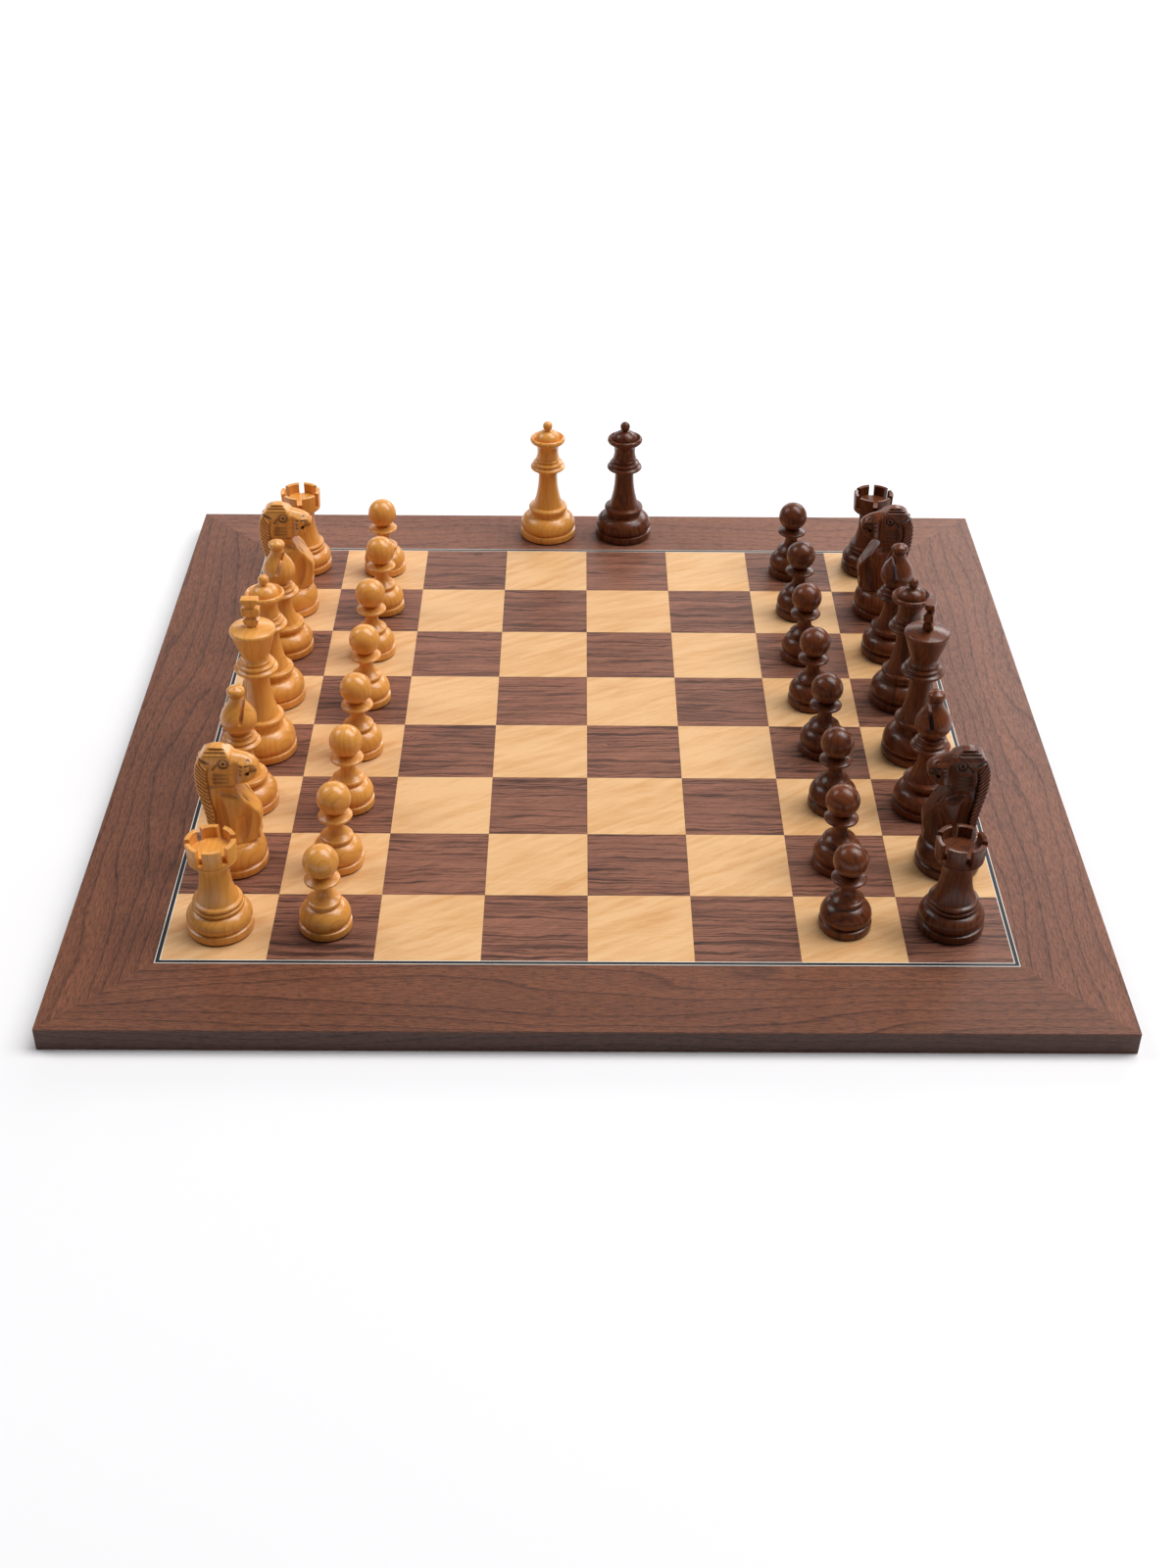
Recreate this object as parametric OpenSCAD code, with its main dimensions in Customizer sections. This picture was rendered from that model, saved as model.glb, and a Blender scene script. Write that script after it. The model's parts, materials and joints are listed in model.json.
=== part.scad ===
// Chess set on a veneered board: thirty-four weighted, felted pieces on eight by eight squares.
// Millimetres. The origin is the middle of the board's underside. +Z is up, +X runs from the
// light side to the dark side, and +Y runs along the ranks from file h to file a.

/* [Board] */
// Side of one square
square = 55; // [45:1:62]
// Whole thickness of the board
board_h = 13; // [10:0.5:20]
// Side of the whole board
board_w = 545; // [520:5:680]
// Thickness of the face, backing and edge veneers
veneer = 0.8; // [0.5:0.1:1.2]
// Width of the black stringing line round the squares
black_line = 2; // [1:0.25:4]
// Width of each white line beside the black one
white_line = 0.4; // [0.3:0.1:1]

/* [Pieces] */
// Radius of a king's or a queen's foot
king_foot = 19.2; // [17:0.1:21]
// Radius of a bishop's or a knight's foot
minor_foot = 17.8; // [16:0.1:20]
// Radius of a rook's foot
rook_foot = 17.5; // [16:0.1:20]
// Radius of a pawn's foot
pawn_foot = 13.9; // [13:0.1:16]
// Thickness of the felt under each piece
felt_h = 0.8; // [0.5:0.1:1.5]

/* [Crowns] */
// Notches in a rook's crown
rook_notches = 6; // [4:1:8]
// Scallops round a queen's coronet
queen_scallops = 12; // [6:1:14]
// Width of the slot in a bishop's mitre
mitre_slot = 2.2; // [1.5:0.1:3]

/* [Finish] */
// Smoothness of the round work
$fn = 72; // [48:8:120]

/* [Hidden] */
// Every playing piece: name, kind, file (0 is a, 7 is h), rank, how far it stands off the
// middle of its square along X and Y, and the turn of its crown.
PIECES = [
    ["light_rook_a",    "rook",   0, 1,  0.5,  4.5,   3],
    ["light_knight_b",  "knight", 1, 1, -2.5,  3.0,   0],
    ["light_bishop_c",  "bishop", 2, 1,  0.0,  5.5,  -2],
    ["light_queen",     "queen",  3, 1,  0.0,  3.5,   0],
    ["light_king",      "king",   4, 1,  1.5,  1.0,   0],
    ["light_bishop_f",  "bishop", 5, 1, -1.0,  2.0,  10],
    ["light_knight_g",  "knight", 6, 1,  0.5,  1.5,   0],
    ["light_rook_h",    "rook",   7, 1,  0.5,  0.5, -19],
    ["light_pawn_a",    "pawn",   0, 2,  0.0,  0.0,   0],
    ["light_pawn_b",    "pawn",   1, 2,  3.0,  2.5,  40],
    ["light_pawn_c",    "pawn",   2, 2,  1.5,  1.5,  80],
    ["light_pawn_d",    "pawn",   3, 2,  3.0,  0.5, 120],
    ["light_pawn_e",    "pawn",   4, 2,  3.0,  0.5, 160],
    ["light_pawn_f",    "pawn",   5, 2,  2.5,  1.0, 200],
    ["light_pawn_g",    "pawn",   6, 2,  1.5,  1.0, 240],
    ["light_pawn_h",    "pawn",   7, 2,  0.5,  0.5, 280],
    ["light_queen_spare", "queen", 3.5, 0, 0, 0, 20],
    ["dark_rook_a",     "rook",   0, 8,  0.0,  6.0,   0],
    ["dark_knight_b",   "knight", 1, 8,  1.5,  3.0, 180],
    ["dark_bishop_c",   "bishop", 2, 8,  1.0,  5.0, 172],
    ["dark_queen",      "queen",  3, 8,  1.0,  4.0,  10],
    ["dark_king",       "king",   4, 8,  1.0,  1.0,  72],
    ["dark_bishop_f",   "bishop", 5, 8, -1.0,  1.0, 172],
    ["dark_knight_g",   "knight", 6, 8,  4.5,  2.5, 180],
    ["dark_rook_h",     "rook",   7, 8, -2.0,  4.0,  10],
    ["dark_pawn_a",     "pawn",   0, 7,  1.0, -1.5,  20],
    ["dark_pawn_b",     "pawn",   1, 7,  1.5, -1.0,  60],
    ["dark_pawn_c",     "pawn",   2, 7,  0.0, -1.0, 100],
    ["dark_pawn_d",     "pawn",   3, 7,  0.0,  0.0, 140],
    ["dark_pawn_e",     "pawn",   4, 7,  2.0,  3.0, 180],
    ["dark_pawn_f",     "pawn",   5, 7,  2.0,  1.5, 220],
    ["dark_pawn_g",     "pawn",   6, 7, -1.0,  1.0, 260],
    ["dark_pawn_h",     "pawn",   7, 7, -2.5,  3.5, 300],
    ["dark_queen_spare", "queen", 4.5, 0, 0, 0, 35]];

boxwood = "burlywood";
rosewood = "saddlebrown";
walnut = "sienna";
maple = "navajowhite";

half_board = board_w / 2;
veneer_z = board_h - veneer;
inlay_in = 4 * square - 0.8;                     // the stringing is let into the outer squares
inlay_w = black_line + 2 * white_line;
border_in = inlay_in + inlay_w;
seam = 0.06;                                     // glue line between neighbouring solids
tile = square - seam;

plinth_h = 5.3;                                  // top of the straight band at every foot
groove = 1;                                      // depth of the groove above that band

// Radius and height of the bore for the weight in each kind of piece
pawn_slug = [7.5, 10];
rook_slug = [9.5, 12];
knight_slug = [9.5, 12];
bishop_slug = [9.5, 13];
queen_slug = [10.5, 14];
king_slug = [10.5, 15];
slug_gap = 0.1;

// Notches of a rook's crown: width, nearest point to the axis and lowest point
notch_w = 3.4;
notch_in = 9.4;
notch_z = 47.6;

// Saw cut in a bishop's mitre: lowest point, how far it leans out, and its length
slot_z = 58;
slot_lean = 15;
slot_run = 12.6;

// Queen's coronet: height of its rim, and the round cutter that scallops it
coronet_z = 72.2;
scallop_r = 2;
scallop_at = 13.2;
scallop_lean = 24;

// King's cross: a spigot let into the crown, a small disc, and a cross with a V cut at each neck
crown_top = 85;
spigot_z = 80.5;
spigot_r = 2;
spigot_gap = 0.3;
cross_top = 102.4;
cross_depth = 5.6;
cross_necks = [90.4, 97.4];
neck_cut = 1.9;

head_z = 18.8;                                   // where a knight's head is glued to its base

spare_y = 246.5;                                 // the two spare queens stand on the far border
spare_x = 27;

function piece_named(name) = [for (p = PIECES) if (p[0] == name) p][0];
function is_light(p) = p[0][0] == "l";
function stand(p) = p[3] == 0
    ? [is_light(p) ? -spare_x : spare_x - 1, spare_y, board_h]
    : [(p[3] - 4.5) * square + p[4], (3.5 - p[2]) * square + p[5], board_h];

// ---- Curves of the lathe work -------------------------------------------------------------

// Points of an elliptical arc from angle a0 to a1
function arc(cx, cz, rx, rz, a0, a1, n = 10) =
    [for (i = [0:n]) let (a = a0 + (a1 - a0) * i / n) [cx + rx * cos(a), cz + rz * sin(a)]];

// Hollow curve from radius r0 at height z0 to radius r1 at height z1, flat towards the top
function hollow(r0, z0, r1, z1, power = 2.4, n = 8) =
    [for (i = [0:n]) let (t = i / n) [r1 + (r0 - r1) * pow(1 - t, power), z0 + (z1 - z0) * t]];

// Rounded ring with its edge at radius r, between heights z0 and z1
function bead(r, z0, z1, depth) = arc(r - depth, (z0 + z1) / 2, depth, (z1 - z0) / 2, -90, 90, 6);

// Foot of radius r: a straight band, a groove and a swelling that closes to neck_r at neck_z
function foot(r, neck_r, neck_z) = let (belly_z = plinth_h + 3.4, cx = neck_r - 2.5)
    concat([[0, felt_h + 0.05], [r - 0.4, felt_h + 0.05], [r, felt_h + 0.5]],
           [[r, plinth_h - 0.5], [r - 0.5, plinth_h], [r - groove, plinth_h + 0.2]],
           arc(cx, belly_z, r - 0.3 - cx, 5.5, -32, 0, 3),
           arc(cx, belly_z, r - 0.3 - cx, (neck_z - belly_z) / sin(acos(2.5 / (r - 0.3 - cx))),
               5, acos(2.5 / (r - 0.3 - cx)), 8));

// Three-stepped collar with its rim at radius r and height z, closing to neck_r
function collar(r, z, neck_r) =
    concat([[neck_r + 0.6, z - 1.6]], arc(r - 1.6, z, 1.6, 1.2, -80, 60, 6),
           [[r - 1.5, z + 1.3]], arc(r - 2.8, z + 2.8, 1.1, 1.1, -60, 70, 5),
           [[r - 3.6, z + 4.2]], arc(r - 4.6, z + 5.4, 1.0, 1.1, -60, 80, 5));

function pawn_profile() = concat(
    foot(pawn_foot, 8.4, 16.3), bead(9.1, 17.2, 19.4, 1.0), hollow(7.7, 19.8, 4.0, 27.5, 3),
    [[4.4, 29.5], [5.8, 30.7]], arc(8.4, 31.8, 1.0, 0.9, -80, 70, 6), [[4.6, 34.4]],
    arc(0, 43, 9.3, 9.3, -66, 90, 22));

function rook_profile() = concat(
    foot(rook_foot, 12.4, 14.6), bead(13.6, 14.9, 17.1, 1.0), bead(13.1, 17.4, 19.7, 1.0),
    hollow(11.2, 20.1, 8.0, 36.5, 2.2), [[8.3, 39.5], [9.4, 41.8], [11.4, 43.2]],
    bead(12.6, 43.3, 44.6, 0.6), [[12.7, 45], [13.2, 56.4], [12.8, 56.8], [10.6, 56.8], [10.2, 50.6]]);

function bishop_profile() = concat(
    foot(minor_foot, 11.3, 15.6), bead(13, 17.4, 20.6, 1.2), hollow(9.8, 21.1, 5.9, 39, 2.2),
    collar(11.2, 42, 5.9), [[5.6, 49]],
    hollow(5.6, 49.2, 5.6, 49.8, 1, 1), arc(3.8, 57, 6.4, 7.4, -66, 22, 10),
    [[8.2, 63.2], [6.2, 66], [4.6, 68.8], [4.0, 71.2]], arc(2.4, 74.6, 2.7, 2.7, -62, 60, 9),
    arc(0, 74.6, 3.8, 3.5, 50, 90, 3));

function queen_profile() = concat(
    foot(king_foot, 12, 16.8), [[12, 18.4]], bead(13.3, 19.5, 22.5, 1.2),
    hollow(10.4, 22.9, 6.4, 47, 2.2), collar(11.9, 52, 6.4),
    hollow(7.8, 59.4, 7.1, 63.5, 2, 3), [[7.4, 67], [8.6, 69.4]],
    arc(10.2, coronet_z, 1.7, 1.9, -80, 80, 8), [[9.3, coronet_z + 0.8], [8.7, coronet_z]],
    arc(0, coronet_z + 0.4, 8.4, 6.4, 0, 66, 9), [[2.0, 78.8]], arc(0, 81.9, 3.3, 3.3, -58, 90, 12));

function king_profile() = concat(
    foot(king_foot, 12.4, 18), [[12, 20.2]], bead(13.3, 22.2, 25.4, 1.2),
    hollow(10.8, 25.8, 6.7, 52, 2.2), collar(12.7, 57, 6.7),
    [[7.8, 65.2], [8.3, 67], [12.3, 79]], arc(11.6, 81.6, 1.6, 1.8, -25, 65, 6),
    arc(0, 79.4, 12.3, 5.6, 56, 90, 6));

function knight_profile() = concat(
    foot(minor_foot, 13.5, 17.6), [[12.2, head_z], [0, head_z]]);

// Solid turned about Z from an outline that starts and may end on the axis
module turned(outline) {
    last = outline[len(outline) - 1];
    rotate_extrude() polygon(concat(outline, last[0] > 0.001 ? [[0, last[1]]] : []));
}

// ---- What every piece has under it ---------------------------------------------------------

// Bore that takes the weight
module slug_bore(r, h) {
    translate([0, 0, -1]) cylinder(r = r, h = h + felt_h + 1);
}

// Steel weight in its bore, and the felt under the foot
module slug_and_felt(r, h, foot_r) {
    color("dimgray") translate([0, 0, felt_h + 0.1])
        cylinder(r = r - slug_gap, h = h - slug_gap - 0.1);
    color("black") cylinder(r = foot_r - 0.7, h = felt_h);
}

// One piece: its turned wood with the bore, the weight and the felt
module weighted(outline, foot_r, slug, tone) {
    color(tone) difference() {
        turned(outline);
        slug_bore(slug[0], slug[1]);
    }
    slug_and_felt(slug[0], slug[1], foot_r);
}

// ---- Playing pieces at the origin ----------------------------------------------------------

module pawn(tone) { weighted(pawn_profile(), pawn_foot, pawn_slug, tone); }

module rook(tone) {
    difference() {
        weighted(rook_profile(), rook_foot, rook_slug, tone);
        for (i = [0:rook_notches - 1]) rotate(-90 + i * 360 / rook_notches)
            translate([notch_in, -notch_w / 2, notch_z]) cube([6, notch_w, 12]);
    }
}

module bishop(tone) {
    difference() {
        weighted(bishop_profile(), minor_foot, bishop_slug, tone);
        translate([0.5, -12, slot_z]) rotate([0, slot_lean, 0]) translate([-mitre_slot / 2, 0, 0])
            cube([mitre_slot, 24, slot_run]);
    }
}

module queen(tone) {
    difference() {
        weighted(queen_profile(), king_foot, queen_slug, tone);
        for (i = [0:queen_scallops - 1]) rotate((i + 0.5) * 360 / queen_scallops)
            translate([scallop_at, 0, coronet_z + 0.6]) rotate([0, -scallop_lean, 0])
                cylinder(r = scallop_r, h = 14, center = true);
    }
}

module king(tone) {
    difference() {
        weighted(king_profile(), king_foot, king_slug, tone);
        translate([0, 0, spigot_z]) cylinder(r = spigot_r + 0.05, h = 10);
    }
}

module knight_base(tone) { weighted(knight_profile(), minor_foot, knight_slug, tone); }

// Cross on a small disc, with a spigot let into the king's crown
module finial() {
    difference() {
        union() {
            translate([0, 0, spigot_z + spigot_gap]) cylinder(r = spigot_r, h = 6);
            translate([0, 0, crown_top + 0.15]) cylinder(r = 3.2, h = 1.1);
            rotate([90, 0, 0]) translate([0, 0, -cross_depth / 2])
                linear_extrude(cross_depth) polygon(concat(cross_side(), mirror_back(cross_side())));
        }
        for (side = [-1, 1], z = cross_necks) translate([0, side * (cross_depth / 2 + 0.6), z])
            rotate([45, 0, 0]) cube([14, neck_cut, neck_cut], center = true);
    }
}

// Right half of the cross, from its foot to its top
function cross_side() = [[2.6, 86.2], [4.7, 88.6], [3.4, 90.4], [4.9, 91.4], [5.6, 96.6], [2.7, 97.5],
                          [5.2, cross_top - 0.8], [4.6, cross_top]];
function mirror_back(points) = [for (i = [len(points) - 1:-1:0]) [-points[i][0], points[i][1]]];

// Carved head and neck of a knight that looks along +X
module knight_head() {
    intersection() {
        rotate([90, 0, 0]) translate([0, 0, -15]) linear_extrude(30) polygon(head_side());
        rotate([90, 0, 90]) translate([0, 0, -25]) linear_extrude(50)
            polygon(concat(head_front(), mirror_back(head_front())));
        linear_extrude(90) polygon(concat(head_plan(), mirror_side(head_plan())));
    }
}

// Outline of the knight seen from its side: up the mane, over the head and down the chest
function head_side() = concat(
    [[-10.4, head_z], [-11.2, 27], [-11.8, 34], [-13.6, 43]], arc(-4.5, 59, 11.4, 14, 205, 122, 8),
    arc(-4.5, 67, 8.6, 9.4, 125, 62, 5), [[3.2, 71.6], [7.4, 70.6], [11.6, 71.2], [14.4, 69.8]],
    arc(13.2, 65, 3.6, 4.2, 45, -20, 4), [[16, 59], [13.6, 56.6], [8, 56], [4.6, 54.4]],
    [[5, 52.6], [9.4, 46.6], [13.6, 40.2]], arc(12.2, 34.2, 4.8, 5.4, 55, -20, 4),
    [[15.6, 25], [13.4, head_z]]);

// Half of the knight seen from the front
function head_front() = [[10.6, head_z], [11.4, 26], [10.4, 36], [8.4, 46], [7.2, 54], [7.4, 62],
                         [6.8, 69], [5.4, 74], [3.2, 77.4]];

// Half of the knight seen from above: a narrow mane, broad shoulders and a keeled chest
function head_plan() = [[-16.2, -3.4], [-13, -6], [-8, -10], [-2, -11.6], [5, -10.6], [12, -7.4],
                        [17.2, -4.6]];
function mirror_side(points) = [for (i = [len(points) - 1:-1:0]) [points[i][0], -points[i][1]]];

// Place a piece on its square and turn it
module on_square(p) { translate(stand(p)) rotate(p[6]) children(); }

module playing_piece(p) {
    tone = is_light(p) ? boxwood : rosewood;
    on_square(p) {
        if (p[1] == "pawn") pawn(tone);
        if (p[1] == "rook") rook(tone);
        if (p[1] == "knight") knight_base(tone);
        if (p[1] == "bishop") bishop(tone);
        if (p[1] == "queen") queen(tone);
        if (p[1] == "king") king(tone);
    }
}

module head_of(name) {
    p = piece_named(name);
    color(is_light(p) ? boxwood : rosewood) on_square(p) knight_head();
}

module finial_of(name) {
    p = piece_named(name);
    color(is_light(p) ? boxwood : rosewood) on_square(p) finial();
}

// ---- Board -----------------------------------------------------------------------------------

module board_core() {
    side = board_w - 2 * veneer;
    color("tan") translate([-side / 2, -side / 2, veneer]) cube([side, side, board_h - 2 * veneer]);
}

module backing_veneer() {
    color(walnut) translate([-half_board, -half_board, 0]) cube([board_w, board_w, veneer]);
}

// Half of the squares: those whose rank and file add to an even number, or to an odd one
module squares(parity, tone) {
    color(tone) translate([0, 0, veneer_z]) intersection() {
        for (i = [0:7], j = [0:7]) if ((i + j) % 2 == parity)
            translate([(i - 4) * square + seam / 2, (j - 4) * square + seam / 2, 0])
                cube([tile, tile, veneer]);
        translate([-inlay_in, -inlay_in, 0]) cube([2 * inlay_in, 2 * inlay_in, veneer]);
    }
}

module light_squares() { squares(0, maple); }
module dark_squares() { squares(1, walnut); }

// One side of a mitred frame of width w whose inner edge is at distance d, on side n of four
module mitred_strip(n, d, w, z, h, gap = 0) {
    rotate(n * 90) translate([0, 0, z]) linear_extrude(h)
        polygon([[-d + gap, -d], [-d - w + gap, -d - w], [d + w - gap, -d - w], [d - gap, -d]]);
}

module border(n) {
    color(walnut) mitred_strip(n, border_in, half_board - border_in, veneer_z, veneer);
}
module border_front() { border(0); }
module border_right() { border(1); }
module border_back() { border(2); }
module border_left() { border(3); }

module edge(n) {
    color(walnut) mitred_strip(n, half_board - veneer, veneer, veneer, board_h - 2 * veneer);
}
module edge_front() { edge(0); }
module edge_right() { edge(1); }
module edge_back() { edge(2); }
module edge_left() { edge(3); }

// Four mitred strips of one stringing line
module stringing(d, w, tone) {
    color(tone) for (n = [0:3]) mitred_strip(n, d, w, veneer_z, veneer, seam);
}
module white_stringing_inner() { stringing(inlay_in, white_line, "ivory"); }
module black_stringing() { stringing(inlay_in + white_line, black_line, "black"); }
module white_stringing_outer() { stringing(inlay_in + white_line + black_line, white_line, "ivory"); }

// ---- Nodes -----------------------------------------------------------------------------------

board_core();
backing_veneer();
light_squares();
dark_squares();
border_front();
border_back();
border_left();
border_right();
edge_front();
edge_back();
edge_left();
edge_right();
black_stringing();
white_stringing_inner();
white_stringing_outer();
for (p = PIECES) playing_piece(p);
head_of("light_knight_b");  // light_knight_head_b
head_of("light_knight_g");  // light_knight_head_g
head_of("dark_knight_b");  // dark_knight_head_b
head_of("dark_knight_g");  // dark_knight_head_g
finial_of("light_king");  // light_king_finial
finial_of("dark_king");  // dark_king_finial
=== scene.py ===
"""Looks of a wooden chess set on its veneered board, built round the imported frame.

Metres throughout. +Z is up, +X runs from the light side to the dark side, +Y along the ranks, and
the origin is the middle of the board's underside.
"""

from __future__ import annotations

import json
import logging
import math
from dataclasses import dataclass, field
from enum import Enum
from typing import Sequence

import bpy
import numpy as np
from mathutils import Matrix, Vector

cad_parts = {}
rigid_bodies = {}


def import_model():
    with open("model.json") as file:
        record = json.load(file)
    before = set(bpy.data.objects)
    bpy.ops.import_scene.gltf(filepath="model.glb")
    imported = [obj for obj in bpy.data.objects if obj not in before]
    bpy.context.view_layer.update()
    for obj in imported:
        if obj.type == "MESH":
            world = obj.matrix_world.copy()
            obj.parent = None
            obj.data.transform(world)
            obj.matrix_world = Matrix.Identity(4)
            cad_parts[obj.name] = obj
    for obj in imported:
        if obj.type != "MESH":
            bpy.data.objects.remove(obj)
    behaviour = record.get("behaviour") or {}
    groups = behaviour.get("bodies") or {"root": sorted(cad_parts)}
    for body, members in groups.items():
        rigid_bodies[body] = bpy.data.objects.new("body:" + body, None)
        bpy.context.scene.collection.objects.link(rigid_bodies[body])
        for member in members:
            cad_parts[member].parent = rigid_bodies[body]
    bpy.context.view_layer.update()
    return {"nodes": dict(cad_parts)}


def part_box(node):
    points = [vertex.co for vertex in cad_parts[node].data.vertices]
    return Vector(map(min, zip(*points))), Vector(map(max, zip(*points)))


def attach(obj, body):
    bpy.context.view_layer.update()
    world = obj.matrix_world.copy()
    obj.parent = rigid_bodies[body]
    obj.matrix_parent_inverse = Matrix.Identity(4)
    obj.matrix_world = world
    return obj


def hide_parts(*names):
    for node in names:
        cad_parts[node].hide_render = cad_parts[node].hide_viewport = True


LOG = logging.getLogger("chess_set")
MM = 0.001
SQUARE = 55.0
PLACE_STEP = 0.5
TINY = 1e-9
Outline = list[tuple[float, float]]


# ---- Shader arithmetic ---------------------------------------------------------------------------


class Value:
    """A number on a shader socket, which Python's operators extend with Math nodes."""

    def __init__(self, bench: "Bench", socket: bpy.types.NodeSocket) -> None:
        """Wraps one output socket of a material that is being made."""
        self.bench = bench
        self.socket = socket

    def call(self, operation: str, other: "Value | float" = 0.0) -> "Value":
        """Adds one Math node.

        Args:
            operation: name of the node's operation, such as FRACT or SINE.
            other: second operand, where the operation has one.

        Returns:
            The node's result.
        """
        return self.bench.node("ShaderNodeMath", {"operation": operation}, {0: self, 1: other})

    def __add__(self, other: "Value | float") -> "Value":
        """self + other."""
        return self.call("ADD", other)

    def __sub__(self, other: "Value | float") -> "Value":
        """self - other."""
        return self.call("SUBTRACT", other)

    def __mul__(self, other: "Value | float") -> "Value":
        """self * other."""
        return self.call("MULTIPLY", other)

    def __truediv__(self, other: "Value | float") -> "Value":
        """self / other."""
        return self.call("DIVIDE", other)


Input = "Value | float | tuple[float, ...]"


class Bench:
    """Makes one material from nodes."""

    def __init__(self, name: str) -> None:
        """Starts an empty material.

        Args:
            name: its name.
        """
        self.material = bpy.data.materials.new(name)
        self.material.use_nodes = True
        self.nodes = self.material.node_tree.nodes
        self.links = self.material.node_tree.links
        self.nodes.clear()

    def node(self, kind: str, settings: dict, inputs: dict, output: int | str = 0) -> Value:
        """Adds one node.

        Args:
            kind: node type.
            settings: attributes of the node, set first; "stops" gives a ramp's stops.
            inputs: value or Value for each input, by index or name.
            output: index or name of the output that is returned.

        Returns:
            That output.
        """
        made = self.nodes.new(kind)
        for name, setting in settings.items():
            if name == "stops":
                self._stops(made.color_ramp, setting)
            else:
                setattr(made, name, setting)
        for key, value in inputs.items():
            if isinstance(value, Value):
                self.links.new(value.socket, made.inputs[key])
            else:
                made.inputs[key].default_value = value
        return Value(self, made.outputs[output])

    @staticmethod
    def _stops(ramp: bpy.types.ColorRamp, stops: Sequence[tuple[float, tuple]]) -> None:
        """Sets a ramp's stops.

        Args:
            ramp: the ramp.
            stops: a position and a colour for each stop.
        """
        while len(ramp.elements) > 1:
            ramp.elements.remove(ramp.elements[-1])
        for count, (position, colour) in enumerate(stops):
            stop = ramp.elements[0] if count == 0 else ramp.elements.new(position)
            stop.position = position
            stop.color = (*colour, 1.0)

    def place(self) -> tuple[Value, Value, Value]:
        """Object coordinates.

        Returns:
            x, y and z in millimetres.
        """
        spot = self.node("ShaderNodeTexCoord", {}, {}, "Object")
        big = self.node("ShaderNodeVectorMath", {"operation": "SCALE"}, {0: spot, "Scale": 1 / MM})
        parts = self.nodes.new("ShaderNodeSeparateXYZ")
        self.links.new(big.socket, parts.inputs[0])
        return tuple(Value(self, parts.outputs[n]) for n in range(3))

    def vector(self, x: Input, y: Input, z: Input) -> Value:
        """Three values as one vector."""
        return self.node("ShaderNodeCombineXYZ", {}, {0: x, 1: y, 2: z})

    def noise(self, vector: Value, detail: float = 2.0, rough: float = 0.5, bend: float = 0.0) -> Value:
        """Soft noise from 0 to 1 at one unit of the vector.

        Args:
            vector: coordinates, already scaled.
            detail: octaves.
            rough: share of the finer octaves.
            bend: how far the noise distorts itself.

        Returns:
            The noise.
        """
        return self.node("ShaderNodeTexNoise", {"noise_dimensions": "3D"}, {
            "Vector": vector, "Scale": 1.0, "Detail": detail, "Roughness": rough,
            "Distortion": bend}, "Fac")

    def cells(self, vector: Value) -> tuple[Value, Value, Value]:
        """Random numbers that change from one whole-numbered vector to the next.

        Args:
            vector: the whole-numbered vector.

        Returns:
            Three numbers from 0 to 1.
        """
        colour = self.node("ShaderNodeTexWhiteNoise", {"noise_dimensions": "3D"}, {0: vector}, "Color")
        parts = self.nodes.new("ShaderNodeSeparateColor")
        self.links.new(colour.socket, parts.inputs[0])
        return tuple(Value(self, parts.outputs[n]) for n in range(3))

    def level(self, value: Value, low: float, high: float,
              to_low: float = 0.0, to_high: float = 1.0) -> Value:
        """Maps low..high smoothly to to_low..to_high, and holds it beyond."""
        return self.node("ShaderNodeMapRange", {"interpolation_type": "SMOOTHSTEP"}, {
            "Value": value, "From Min": low, "From Max": high, "To Min": to_low, "To Max": to_high})

    def ramp(self, value: Value, stops: Sequence[tuple[float, tuple]]) -> Value:
        """Colour for each level of a value."""
        return self.node("ShaderNodeValToRGB", {"stops": stops}, {0: value}, "Color")

    def blend(self, share: Input, first: Input, second: Input) -> Value:
        """Mixes two colours.

        Args:
            share: how much of the second.
            first: first colour.
            second: second colour.

        Returns:
            The mixed colour.
        """
        colours = [c if isinstance(c, Value) else (*c, 1.0) for c in (first, second)]
        return self.node("ShaderNodeMix", {"data_type": "RGBA"}, {
            0: share, 6: colours[0], 7: colours[1]}, 2)

    def bump(self, height: Value, depth: float, strength: float = 1.0) -> Value:
        """Normal of a surface that rises by depth metres where height is one."""
        return self.node("ShaderNodeBump", {}, {
            "Strength": strength, "Distance": depth, "Height": height}, "Normal")

    def finish(self, colour: Input, rough: Input, constants: dict,
               normal: Value | None = None) -> bpy.types.Material:
        """Adds the shader and ends the material.

        Args:
            colour: base colour.
            rough: roughness.
            constants: other sockets of the shader, by name.
            normal: normal from a bump, if there is one.

        Returns:
            The finished material.
        """
        inputs = {"Base Color": colour if isinstance(colour, Value) else (*colour, 1.0),
                  "Roughness": rough, **constants}
        if normal is not None:
            inputs["Normal"] = normal
        shader = self.node("ShaderNodeBsdfPrincipled", {}, inputs)
        out = self.nodes.new("ShaderNodeOutputMaterial")
        self.links.new(shader.socket, out.inputs["Surface"])
        return self.material


# ---- Finishes ------------------------------------------------------------------------------------


class Grain(Enum):
    """Which way a veneer's grain runs."""

    ALONG_X = "x"
    ALONG_Y = "y"


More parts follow.
